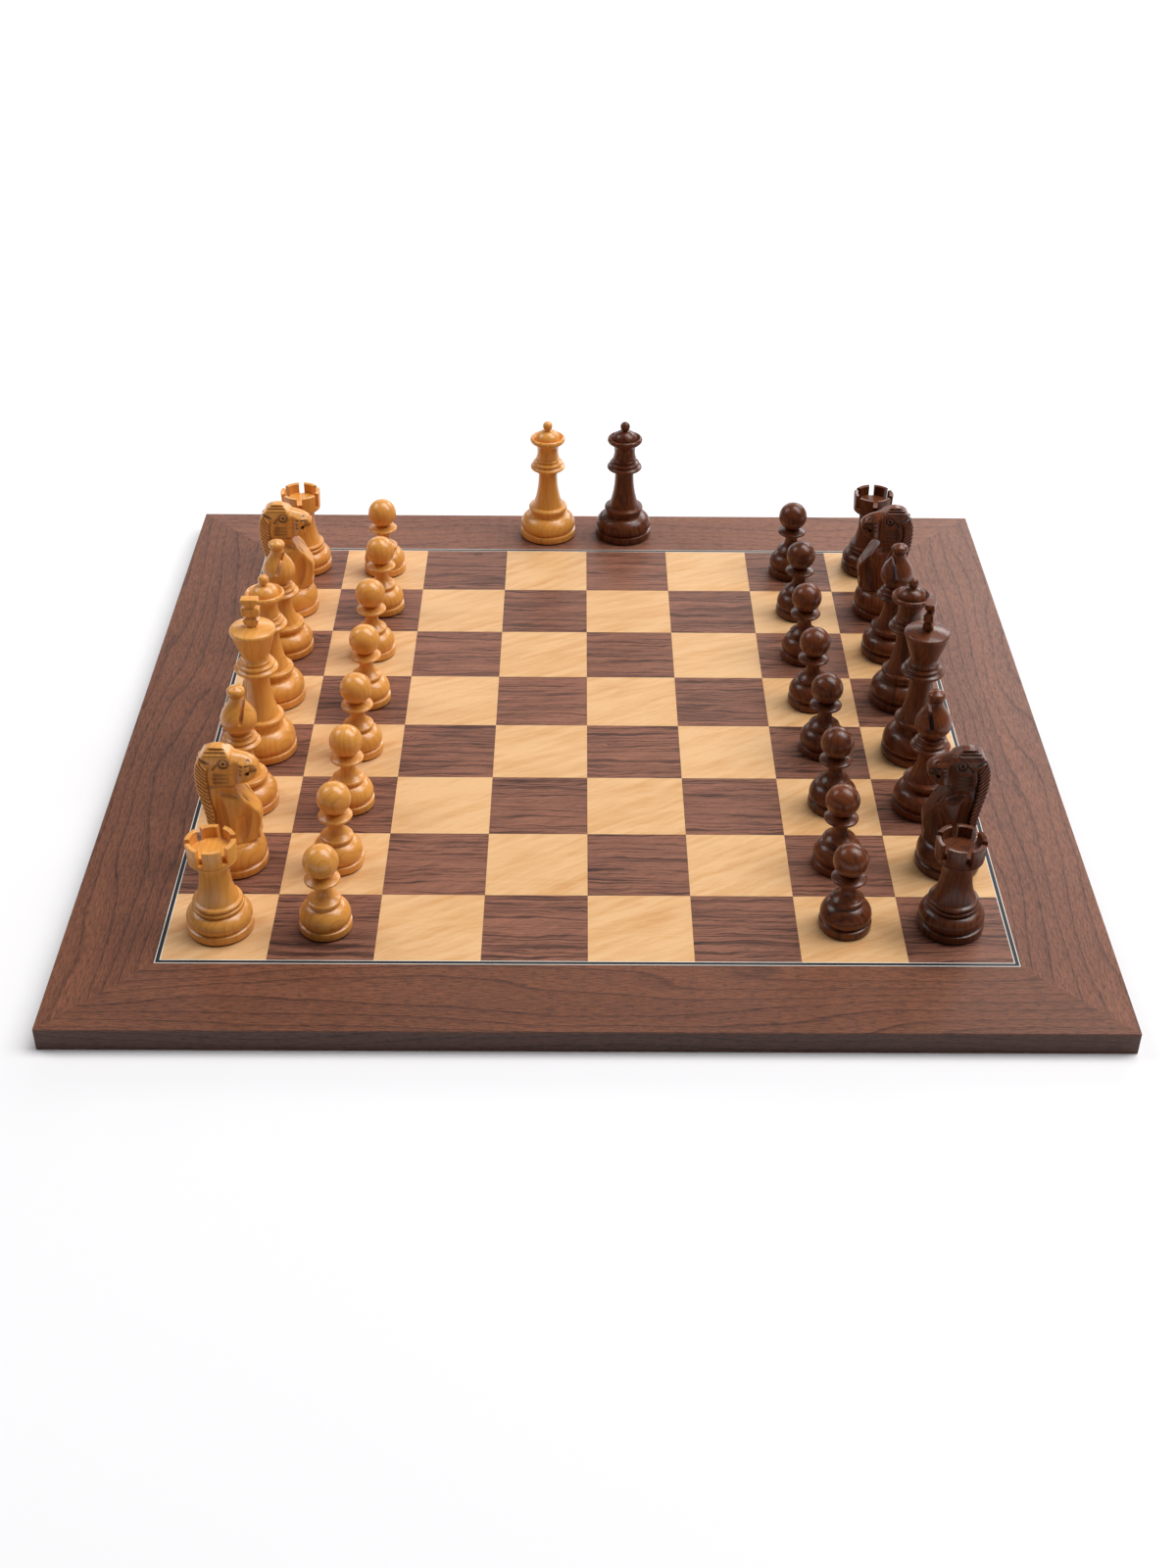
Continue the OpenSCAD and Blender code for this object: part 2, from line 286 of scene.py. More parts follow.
@dataclass(frozen=True)
class StripVeneer:
    """Satin walnut veneer of a border or edge strip, with its grain along the strip."""

    name: str
    grain: Grain
    seed: float
    light: tuple = (0.225, 0.082, 0.040)
    dark: tuple = (0.036, 0.013, 0.008)
    haze: tuple = (0.128, 0.046, 0.025)
    ring_gap: float = 8.5
    rough: float = 0.42
    sheen: float = 0.28

    def make(self) -> bpy.types.Material:
        """Cathedral lines, fine streaks and pores that follow the strip.

        Returns:
            The finished material.
        """
        b = Bench(self.name)
        x, y, z = b.place()
        u, v = (x, y) if self.grain is Grain.ALONG_X else (y, x)
        v = v + z
        wander = b.noise(b.vector(u / 230, v / 46, self.seed), 1.5) - 0.5
        ripple = b.noise(b.vector(u / 40, v / 9, self.seed + 5), 2.0) - 0.5
        rings = v / self.ring_gap + wander * 6.5 + ripple * 0.3
        late = b.ramp(rings.call("FRACT"), [(0.0, (0.05,) * 3), (0.6, (0.15,) * 3), (0.82, (0.38,) * 3),
                                            (0.90, (1.0,) * 3), (0.95, (0.85,) * 3), (1.0, (0.05,) * 3)])
        streak = b.noise(b.vector(u / 8, (v + wander * 9.0) / 0.9, self.seed + 9), 4.0, 0.7)
        broad = b.noise(b.vector(u / 240, v / 26, self.seed + 2), 2.0)
        pore = b.level(b.noise(b.vector(u / 4.2, v / 0.5, self.seed + 13), 2.0, 0.6), 0.54, 0.68)
        shade = late * 0.40 + b.level(streak, 0.40, 0.66) * 0.46 + b.level(broad, 0.38, 0.62) * 0.14
        wood = b.ramp(shade, [(0.0, self.light), (0.45, self.haze), (0.95, self.dark)])
        wood = b.blend(pore * 0.72, wood, tuple(c * 0.6 for c in self.dark))
        relief = pore * -0.6 + streak * 0.3
        return b.finish(wood, b.level(streak, 0.3, 0.7, self.rough - 0.05, self.rough + 0.07),
                        {"Specular IOR Level": self.sheen}, b.bump(relief, 0.00005, 0.7))


@dataclass(frozen=True)
class SquareVeneer:
    """Veneer of the squares: each square is its own cut of the sheet."""

    name: str
    light: tuple
    dark: tuple
    pore_tone: tuple
    streaks: float
    figure: float
    pores: float
    rough: float
    sheen: float = 0.28
    square: float = SQUARE

    def make(self) -> bpy.types.Material:
        """Streaks along X that start anew on every square, with a slanting figure under them.

        Returns:
            The finished material.
        """
        b = Bench(self.name)
        x, y, _ = b.place()
        cell = b.vector((x / self.square).call("FLOOR"), (y / self.square).call("FLOOR"), 3.0)
        one, two, three = b.cells(cell)
        u = x + one * 900
        v = y + two * 700
        wander = b.noise(b.vector(u / 34, v / 11, three * 20), 2.0) - 0.5
        ripple = b.noise(b.vector(u / 8, v / 5, three * 30), 2.0) - 0.5
        w = v + wander * 9.0 + ripple * 1.3
        bands = b.noise(b.vector(u / 70, w / 1.25, 1.5), 4.0, 0.62)
        fine = b.noise(b.vector(u / 18, w / 0.6, 7.5), 3.0, 0.62)
        slope = two * 0.35 + 0.35
        across = (v + wander * 5.0 - u * slope) / 5.5
        figure = b.noise(b.vector((u + v * slope) / 42, across, 4.5), 3.0, 0.6)
        pore = b.level(b.noise(b.vector(u / 3.6, v / 0.45, 11.0), 2.0, 0.6), 0.55, 0.68)
        shade = (b.level(bands, 0.45, 0.62) * self.streaks + (fine - 0.5) * self.streaks * 1.5
                 + (figure - 0.5) * self.figure + (three - 0.5) * 0.14 + 0.16)
        wood = b.ramp(shade, [(0.0, self.light), (0.9, self.dark)])
        wood = b.blend(pore * self.pores, wood, self.pore_tone)
        return b.finish(wood, b.level(fine, 0.3, 0.7, self.rough - 0.04, self.rough + 0.06),
                        {"Specular IOR Level": self.sheen},
                        b.bump(fine * 0.4 - pore * self.pores, 0.00004, 0.6))


@dataclass(frozen=True)
class TurnedWood:
    """Lacquered hardwood of the playing pieces, a different blank for each."""

    name: str
    light: tuple
    dark: tuple
    vein: tuple
    ring_gap: float
    ring_depth: float
    veins: float
    fibre: float
    spread: float
    rough: float
    coat: float
    sheen: float
    coat_rough: float = 0.17
    heart: float = 40.0
    square: float = SQUARE

    def make(self) -> bpy.types.Material:
        """Growth rings of an upright blank whose heart lies off the piece, with fibre and veins.

        Returns:
            The finished material.
        """
        b = Bench(self.name)
        x, y, z = b.place()
        column, row = (x / self.square).call("FLOOR"), (y / self.square).call("FLOOR")
        one, two, three = b.cells(b.vector(column, row, 1.0))
        qx, qy = x - (column + 0.5) * self.square, y - (row + 0.5) * self.square
        turn = one * math.tau
        cosine, sine = turn.call("COSINE"), turn.call("SINE")
        px, py = qx * cosine + qy * sine, qy * cosine - qx * sine
        wander = b.noise(b.vector(px / 24, py / 24, z / 70 + two * 40), 2.0) - 0.5
        knurl = b.noise(b.vector(px / 7, py / 7, z / 20 + three * 40), 2.0) - 0.5
        far = (px + self.heart) * (px + self.heart) + py * py * 1.3
        rings = far.call("SQRT") / self.ring_gap + wander * (16 / self.ring_gap) + knurl * 0.7
        late = b.ramp(rings.call("FRACT"), [(0.0, (0.0,) * 3), (0.5, (0.12,) * 3), (0.84, (0.45,) * 3),
                                            (0.93, (1.0,) * 3), (1.0, (0.05,) * 3)])
        fibre = b.noise(b.vector(px / 0.6, py / 0.6, z / 14 + three * 20), 3.0, 0.6)
        veins = b.level(b.noise(b.vector(px / 3.4, py / 7, z / 65 + two * 60), 3.0, 0.6, 0.4), 0.5, 0.66)
        pore = b.level(b.noise(b.vector(px / 0.35, py / 0.35, z / 4.5), 2.0), 0.6, 0.72)
        shade = late * self.ring_depth + (fibre - 0.5) * self.fibre + (two - 0.5) * self.spread + 0.2
        wood = b.ramp(shade, [(0.0, self.light), (1.0, self.dark)])
        wood = b.blend(veins * self.veins, wood, self.vein)
        wood = b.blend(pore * self.fibre, wood, self.vein)
        # Painted shade: carved parts carry an attribute that darkens the wood in their cuts and hollows,
        # where shade falls.
        painted_shade = b.node("ShaderNodeAttribute", {"attribute_name": "painted_shade"}, {}, "Fac")
        wood = b.blend(painted_shade * 0.8, wood, tuple(c * 0.35 for c in self.dark))
        return b.finish(wood, b.level(fibre, 0.3, 0.7, self.rough - 0.04, self.rough + 0.05),
                        {"Specular IOR Level": self.sheen, "Coat Weight": self.coat,
                         "Coat Roughness": self.coat_rough},
                        b.bump(fibre - pore, 0.00002, 0.5))


@dataclass(frozen=True)
class PlainLine:
    """Dyed veneer line, core or other plain finish with a fine mottle."""

    name: str
    colour: tuple
    mottle: float
    rough: float
    scale: float = 1.5

    def make(self) -> bpy.types.Material:
        """Short fibres over an even colour.

        Returns:
            The finished material.
        """
        b = Bench(self.name)
        x, y, z = b.place()
        fleck = b.noise(b.vector(x / self.scale, y / self.scale, z / self.scale), 3.0, 0.6)
        tone = b.blend(b.level(fleck, 0.35, 0.7) * self.mottle, self.colour,
                       tuple(c * 0.45 for c in self.colour))
        return b.finish(tone, b.level(fleck, 0.3, 0.7, self.rough - 0.05, self.rough + 0.08),
                        {"Specular IOR Level": 0.4}, b.bump(fleck, 0.00003, 0.5))


@dataclass(frozen=True)
class Felt:
    """Black wool felt under the feet."""

    name: str = "black_felt"
    colour: tuple = (0.012, 0.012, 0.014)

    def make(self) -> bpy.types.Material:
        """Matted fibres with a faint sheen.

        Returns:
            The finished material.
        """
        b = Bench(self.name)
        x, y, z = b.place()
        wool = b.noise(b.vector(x / 0.35, y / 0.35, z / 0.2), 4.0, 0.7, 1.2)
        tone = b.blend(wool, self.colour, tuple(c * 3 for c in self.colour))
        return b.finish(tone, 0.95, {"Specular IOR Level": 0.2, "Sheen Weight": 0.3,
                                     "Sheen Roughness": 0.5}, b.bump(wool, 0.0003, 0.8))


class Finish(Enum):
    """Every finish of the set."""

    MAPLE = SquareVeneer("maple_squares_satin", (0.75, 0.46, 0.225), (0.60, 0.285, 0.095),
                         (0.46, 0.22, 0.08), streaks=0.12, figure=1.9, pores=0.14, rough=0.36)
    WALNUT = SquareVeneer("walnut_squares_satin", (0.30, 0.122, 0.074), (0.036, 0.014, 0.010),
                          (0.05, 0.02, 0.014), streaks=0.60, figure=0.5, pores=0.5, rough=0.40)
    BORDER_FRONT = StripVeneer("border_front_walnut", Grain.ALONG_X, 3.0)
    # Lighter walnut than the front and left strips: painted light and sheen on the back of the board.
    BORDER_BACK = StripVeneer("border_back_walnut", Grain.ALONG_X, 17.0, light=(0.285, 0.114, 0.064),
                              dark=(0.05, 0.019, 0.013), haze=(0.19, 0.075, 0.046))
    BORDER_LEFT = StripVeneer("border_left_walnut", Grain.ALONG_Y, 29.0)
    # Lighter walnut than the front and left strips: painted light and sheen on the right side of the
    # board.
    BORDER_RIGHT = StripVeneer("border_right_walnut", Grain.ALONG_Y, 41.0, light=(0.265, 0.102, 0.055),
                               dark=(0.045, 0.016, 0.011), haze=(0.165, 0.062, 0.036))
    # Darker walnut than the top strips: painted shade on the board's upright edges; the closer grain is
    # the edge's own.
    EDGE_X = StripVeneer("edge_walnut_front_back", Grain.ALONG_X, 53.0, light=(0.12, 0.055, 0.04),
                         dark=(0.035, 0.015, 0.011), haze=(0.08, 0.037, 0.027), ring_gap=5.0)
    EDGE_Y = StripVeneer("edge_walnut_sides", Grain.ALONG_Y, 67.0, light=(0.12, 0.055, 0.04),
                         dark=(0.035, 0.015, 0.011), haze=(0.08, 0.037, 0.027), ring_gap=5.0)
    BACKING = StripVeneer("backing_walnut", Grain.ALONG_X, 71.0)
    BLACK_LINE = PlainLine("black_dyed_line", (0.012, 0.013, 0.02), 0.4, 0.4)
    WHITE_LINE = PlainLine("white_line", (0.42, 0.385, 0.33), 0.3, 0.45)
    CORE = PlainLine("fibreboard_core", (0.36, 0.24, 0.14), 0.6, 0.85, 0.5)
    BOXWOOD = TurnedWood("boxwood_lacquered", (0.87, 0.39, 0.072), (0.51, 0.182, 0.025),
                         (0.37, 0.11, 0.015), ring_gap=3.4, ring_depth=0.40, veins=0.10, fibre=0.30,
                         spread=0.22, rough=0.36, coat=0.4, sheen=0.45)
    ROSEWOOD = TurnedWood("rosewood_lacquered", (0.19, 0.047, 0.013), (0.028, 0.008, 0.003),
                          (0.006, 0.002, 0.002), ring_gap=2.4, ring_depth=0.5, veins=0.5, fibre=0.6,
                          spread=0.40, rough=0.36, coat=0.32, sheen=0.22)
    FELT = Felt()

    def material(self) -> bpy.types.Material:
        """The finish's material, made the first time it is asked for."""
        found = bpy.data.materials.get(self.value.name)
        return found if found else self.value.make()


# ---- Lathe and cutters in Geometry Nodes ---------------------------------------------------------


class Tree:
    """Builds one Geometry Nodes tree whose inputs are named."""

    def __init__(self, name: str, inputs: dict[str, str]) -> None:
        """Starts a tree with a geometry in and a geometry out.

        Args:
            name: its name.
            inputs: socket type of each further input, by name.
        """
        self.tree = bpy.data.node_groups.new(name, "GeometryNodeTree")
        face = self.tree.interface
        face.new_socket("Geometry", in_out="OUTPUT", socket_type="NodeSocketGeometry")
        face.new_socket("Geometry", in_out="INPUT", socket_type="NodeSocketGeometry")
        self.ids = {label: face.new_socket(label, in_out="INPUT", socket_type=kind).identifier
                    for label, kind in inputs.items()}
        self.into = self.tree.nodes.new("NodeGroupInput")
        self.out = self.tree.nodes.new("NodeGroupOutput")

    def given(self, label: str = "Geometry") -> bpy.types.NodeSocket:
        """Socket of one of the tree's inputs."""
        return self.into.outputs[label]

    def add(self, kind: str, settings: dict, inputs: dict, output: int | str = 0) -> bpy.types.NodeSocket:
        """Adds one node.

        Args:
            kind: node type.
            settings: attributes of the node, set first.
            inputs: value or socket for each input, by index or name.
            output: index or name of the output that is returned.

        Returns:
            That output.
        """
        made = self.tree.nodes.new(kind)
        for name, setting in settings.items():
            setattr(made, name, setting)
        for key, value in inputs.items():
            if isinstance(value, bpy.types.NodeSocket):
                self.tree.links.new(value, made.inputs[key])
            else:
                made.inputs[key].default_value = value
        return made.outputs[output]

    def maths(self, operation: str, first: object, second: object) -> bpy.types.NodeSocket:
        """One Math node."""
        return self.add("ShaderNodeMath", {"operation": operation}, {0: first, 1: second})

    def end(self, geometry: bpy.types.NodeSocket) -> None:
        """Realizes instances, sets the material and closes the tree.

        Args:
            geometry: what the tree gives out.
        """
        real = self.add("GeometryNodeRealizeInstances", {}, {0: geometry})
        dressed = self.add("GeometryNodeSetMaterial", {}, {
            "Geometry": real, "Material": self.given("Material")})
        self.tree.links.new(dressed, self.out.inputs[0])

    def run(self, mesh: bpy.types.Mesh, values: dict) -> bpy.types.Mesh:
        """Applies the tree to a mesh.

        Args:
            mesh: the mesh that goes in.
            values: a value for each named input.

        Returns:
            A plain mesh with the result.
        """
        carrier = bpy.data.objects.new("carrier", mesh)
        bpy.context.scene.collection.objects.link(carrier)
        modifier = carrier.modifiers.new("tree", "NODES")
        modifier.node_group = self.tree
        for label, value in values.items():
            modifier[self.ids[label]] = value
        carrier.update_tag()
        graph = bpy.context.evaluated_depsgraph_get()
        made = bpy.data.meshes.new_from_object(carrier.evaluated_get(graph), depsgraph=graph)
        bpy.data.objects.remove(carrier)
        return made


class Lathe:
    """Turns an outline about the Z axis."""

    weld = 0.000002

    def __init__(self) -> None:
        """Builds the tree: a grid whose columns are copies of the outline, each turned further."""
        t = self.t = Tree("turn_on_lathe", {"Steps": "NodeSocketInt", "Material": "NodeSocketMaterial"})
        count = t.add("GeometryNodeAttributeDomainSize", {"component": "MESH"}, {0: t.given()},
                      "Point Count")
        columns = t.maths("ADD", t.given("Steps"), 1.0)
        grid = t.add("GeometryNodeMeshGrid", {}, {"Vertices X": columns, "Vertices Y": count})
        index = t.add("GeometryNodeInputIndex", {}, {})
        row = t.maths("FLOORED_MODULO", index, count)
        column = t.maths("FLOOR", t.maths("DIVIDE", t.maths("ADD", index, 0.5), count), 0.0)
        spot = t.add("GeometryNodeInputPosition", {}, {})
        point = t.add("GeometryNodeSampleIndex", {"data_type": "FLOAT_VECTOR", "domain": "POINT"},
                      {"Geometry": t.given(), "Value": spot, "Index": row})
        angle = t.maths("DIVIDE", t.maths("MULTIPLY", column, -math.tau), t.given("Steps"))
        turned = t.add("ShaderNodeVectorRotate", {"rotation_type": "Z_AXIS"}, {
            "Vector": point, "Angle": angle})
        placed = t.add("GeometryNodeSetPosition", {}, {"Geometry": grid, "Position": turned})
        t.end(t.add("GeometryNodeMergeByDistance", {}, {"Geometry": placed, "Distance": self.weld}))

    def turn(self, outline: Outline, material: bpy.types.Material, steps: int = 96) -> bpy.types.Mesh:
        """Turns one outline.

        Args:
            outline: (radius, height) points in millimetres, from the axis round to the axis.
            material: finish of the result.
            steps: divisions of a full turn.

        Returns:
            A closed mesh.
        """
        mesh = bpy.data.meshes.new("outline")
        points = [(r * MM, 0.0, z * MM) for r, z in outline]
        mesh.from_pydata(points, [(n, n + 1) for n in range(len(points) - 1)], [])
        return self.t.run(mesh, {"Steps": steps, "Material": material})


class Cutter(Enum):
    """Shape of a repeated cutter."""

    BOX = "box"
    ROUND = "round"


class RingOfCuts:
    """Cuts the same hollow at even steps round a solid."""

    sides = 40

    def __init__(self, shape: Cutter) -> None:
        """Builds the tree: cutters on a circle, taken away from the solid.

        Args:
            shape: shape of the cutters.
        """
        t = self.t = Tree(f"ring_of_{shape.value}_cuts", {
            "Count": "NodeSocketInt", "Radius": "NodeSocketFloat", "Height": "NodeSocketFloat",
            "Lean": "NodeSocketFloat", "Start": "NodeSocketFloat", "Size": "NodeSocketVector",
            "Material": "NodeSocketMaterial"})
        index = t.add("GeometryNodeInputIndex", {}, {})
        angle = t.maths("DIVIDE", t.maths("MULTIPLY", index, math.tau), t.given("Count"))
        along, across = (t.maths("MULTIPLY", t.maths(way, angle, 0.0), t.given("Radius"))
                         for way in ("COSINE", "SINE"))
        places = t.add("GeometryNodePoints", {}, {"Count": t.given("Count"), "Position": t.add(
            "ShaderNodeCombineXYZ", {}, {0: along, 1: across, 2: t.given("Height")})})
        if shape is Cutter.BOX:
            tool = t.add("GeometryNodeMeshCube", {}, {"Size": t.given("Size")})
        else:
            wide, tall = (t.add("ShaderNodeSeparateXYZ", {}, {0: t.given("Size")}, n) for n in (0, 2))
            tool = t.add("GeometryNodeMeshCylinder", {}, {
                "Vertices": self.sides, "Radius": wide, "Depth": tall})
        euler = t.add("ShaderNodeCombineXYZ", {}, {1: t.given("Lean"), 2: angle})
        ring = t.add("GeometryNodeInstanceOnPoints", {}, {
            "Points": places, "Instance": tool, "Rotation": euler})
        whole = t.add("GeometryNodeRealizeInstances", {}, {0: ring})
        spun = t.add("GeometryNodeTransform", {}, {"Geometry": whole, "Rotation": t.add(
            "ShaderNodeCombineXYZ", {}, {2: t.given("Start")})})
        cut = t.add("GeometryNodeMeshBoolean", {"operation": "DIFFERENCE", "solver": "EXACT"},
                    {0: t.given(), 1: spun})
        t.end(cut)

    def cut(self, mesh: bpy.types.Mesh, material: bpy.types.Material, count: int, radius: float,
            height: float, size: tuple[float, float, float], lean: float = 0.0,
            start: float = 0.0) -> bpy.types.Mesh:
        """Cuts one solid.

        Args:
            mesh: the solid.
            material: its finish.
            count: how many cuts.
            radius: distance of the cutters' middles from the axis, in millimetres.
            height: height of their middles, in millimetres.
            size: box size, or (radius, unused, length) of a round cutter, in millimetres.
            lean: how far a cutter leans about its own Y axis, in degrees.
            start: turn of the whole ring, in degrees.

        Returns:
            The cut solid.
        """
        return self.t.run(mesh, {
            "Count": count, "Radius": radius * MM, "Height": height * MM, "Lean": math.radians(lean),
            "Start": math.radians(start), "Size": tuple(s * MM for s in size), "Material": material})


# ---- Outlines of the lathe work ------------------------------------------------------------------


def arc(cx: float, cz: float, rx: float, rz: float, a0: float, a1: float, n: int = 16) -> Outline:
    """Points of an elliptical arc.

    Args:
        cx: radius of its middle.
        cz: height of its middle.
        rx: half width.
        rz: half height.
        a0: first angle in degrees.
        a1: last angle in degrees.
        n: steps.

    Returns:
        n + 1 points.
    """
    angles = [math.radians(a0 + (a1 - a0) * i / n) for i in range(n + 1)]
    return [(cx + rx * math.cos(a), cz + rz * math.sin(a)) for a in angles]


def hollow(r0: float, z0: float, r1: float, z1: float, power: float = 2.4, n: int = 16) -> Outline:
    """Hollow curve.

    Args:
        r0: radius at the start.
        z0: height at the start.
        r1: radius at the end.
        z1: height at the end.
        power: how soon it turns upright.
        n: steps.

    Returns:
        n + 1 points.
    """
    return [(r1 + (r0 - r1) * (1 - i / n) ** power, z0 + (z1 - z0) * i / n) for i in range(n + 1)]


def bead(r: float, z0: float, z1: float, depth: float) -> Outline:
    """Rounded ring with its edge at radius r, between two heights."""
    return arc(r - depth, (z0 + z1) / 2, depth, (z1 - z0) / 2, -90, 90, 10)


def collar(r: float, z: float, neck: float) -> Outline:
    """Three-stepped collar with its rim at radius r and height z, on a neck."""
    return [(neck + 0.6, z - 1.6), *arc(r - 1.6, z, 1.6, 1.2, -80, 60, 10), (r - 1.5, z + 1.3),
            *arc(r - 2.8, z + 2.8, 1.1, 1.1, -60, 70, 8), (r - 3.6, z + 4.2),
            *arc(r - 4.6, z + 5.4, 1.0, 1.1, -60, 80, 8)]


def foot(r: float, neck: float, top: float) -> Outline:
    """Foot of a piece.

    Args:
        r: radius of its straight band.
        neck: radius where the swelling ends.
        top: height where the swelling ends.

    Returns:
        Points from the axis, over the band, the groove and the swelling.
    """
    belly, cx = 8.7, neck - 2.5
    wide = r - 0.3 - cx
    end = math.degrees(math.acos(2.5 / wide))
    return [(0, 0.85), (r - 0.5, 0.85), (r - 0.12, 1.0), (r, 1.4), (r, 4.7), (r - 0.12, 5.1),
            (r - 0.5, 5.3), (r - 1, 5.5), *arc(cx, belly, wide, 5.5, -32, 0, 6),
            *arc(cx, belly, wide, (top - belly) / math.sin(math.radians(end)), 3, end, 16)]


@dataclass(frozen=True)
class Piece:
    """One playing piece. Its node's name says what it is, and turn is in degrees."""

    name: str
    turn: float

    @property
    def side(self) -> str:
        """Its side: light or dark."""
        return self.name.split("_")[0]

    @property
    def kind(self) -> str:
        """What it is, such as pawn or rook."""
        return self.name.split("_")[1]

    @property
    def wood(self) -> Finish:
        """Its wood."""
        return Finish.BOXWOOD if self.side == "light" else Finish.ROSEWOOD

    @property
    def slot(self) -> str:
        """Its material slot in the record."""
        return "boxwood" if self.side == "light" else "rosewood"

    def stand(self) -> Matrix:
        """Turn and place on the board, which its node's box gives to half a millimetre.

        Returns:
            The matrix that carries a mesh from the origin to its place.
        """
        low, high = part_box(self.name)
        foot = ((low[0] + high[0]) / 2, (low[1] + high[1]) / 2, low[2])
        place = [round(v / MM / PLACE_STEP) * PLACE_STEP * MM for v in foot]
        return Matrix.Translation(place) @ Matrix.Rotation(math.radians(self.turn), 4, "Z")


PIECES = [Piece(name, turn) for name, turn in {
    "light_rook_a": 3, "light_knight_b": 0, "light_bishop_c": -2, "light_queen": 0, "light_king": 0,
    "light_bishop_f": 10, "light_knight_g": 0, "light_rook_h": -19,
    "light_pawn_a": 0, "light_pawn_b": 40, "light_pawn_c": 80, "light_pawn_d": 120,
    "light_pawn_e": 160, "light_pawn_f": 200, "light_pawn_g": 240, "light_pawn_h": 280,
    "light_queen_spare": 20,
    "dark_rook_a": 0, "dark_knight_b": 180, "dark_bishop_c": 172, "dark_queen": 10, "dark_king": 72,
    "dark_bishop_f": 172, "dark_knight_g": 180, "dark_rook_h": 10,
    "dark_pawn_a": 20, "dark_pawn_b": 60, "dark_pawn_c": 100, "dark_pawn_d": 140,
    "dark_pawn_e": 180, "dark_pawn_f": 220, "dark_pawn_g": 260, "dark_pawn_h": 300,
    "dark_queen_spare": 35}.items()]


# ---- Carved work ---------------------------------------------------------------------------------


def smooth_outline(points: Sequence[tuple[float, float]], steps: int = 5) -> np.ndarray:
    """Closed curve through points.

    Args:
        points: corners of the outline, in order.
        steps: divisions between two corners.

    Returns:
        The finer outline, one row a point.
    """
    p = np.array(points, float)
    before, after, later = np.roll(p, 1, 0), np.roll(p, -1, 0), np.roll(p, -2, 0)
    rows = []
    for t in np.arange(steps) / steps:
        rows.append(0.5 * (2 * p + (after - before) * t + (2 * before - 5 * p + 4 * after - later) * t**2
                           + (3 * p - before - 3 * after + later) * t**3))
    return np.stack(rows, 1).reshape(-1, 2)


def outline_distance(points: np.ndarray, u: np.ndarray, v: np.ndarray) -> np.ndarray:
    """Signed distance to a closed outline, negative inside.

    Args:
        points: the outline.
        u: first coordinate of every place.
        v: second coordinate of every place.

    Returns:
        Distances in the shape of u and v.
    """
    best = np.full(np.broadcast(u, v).shape, 1e9)
    inside = np.zeros(best.shape, bool)
    for a, b in zip(points, np.roll(points, -1, 0)):
        e = b - a
        t = np.clip(((u - a[0]) * e[0] + (v - a[1]) * e[1]) / max(e @ e, TINY), 0, 1)
        best = np.minimum(best, np.hypot(u - a[0] - t * e[0], v - a[1] - t * e[1]))
        if abs(e[1]) > TINY:
            inside ^= ((a[1] > v) != (b[1] > v)) & (u < a[0] + e[0] * (v - a[1]) / e[1])
    return np.where(inside, -best, best)


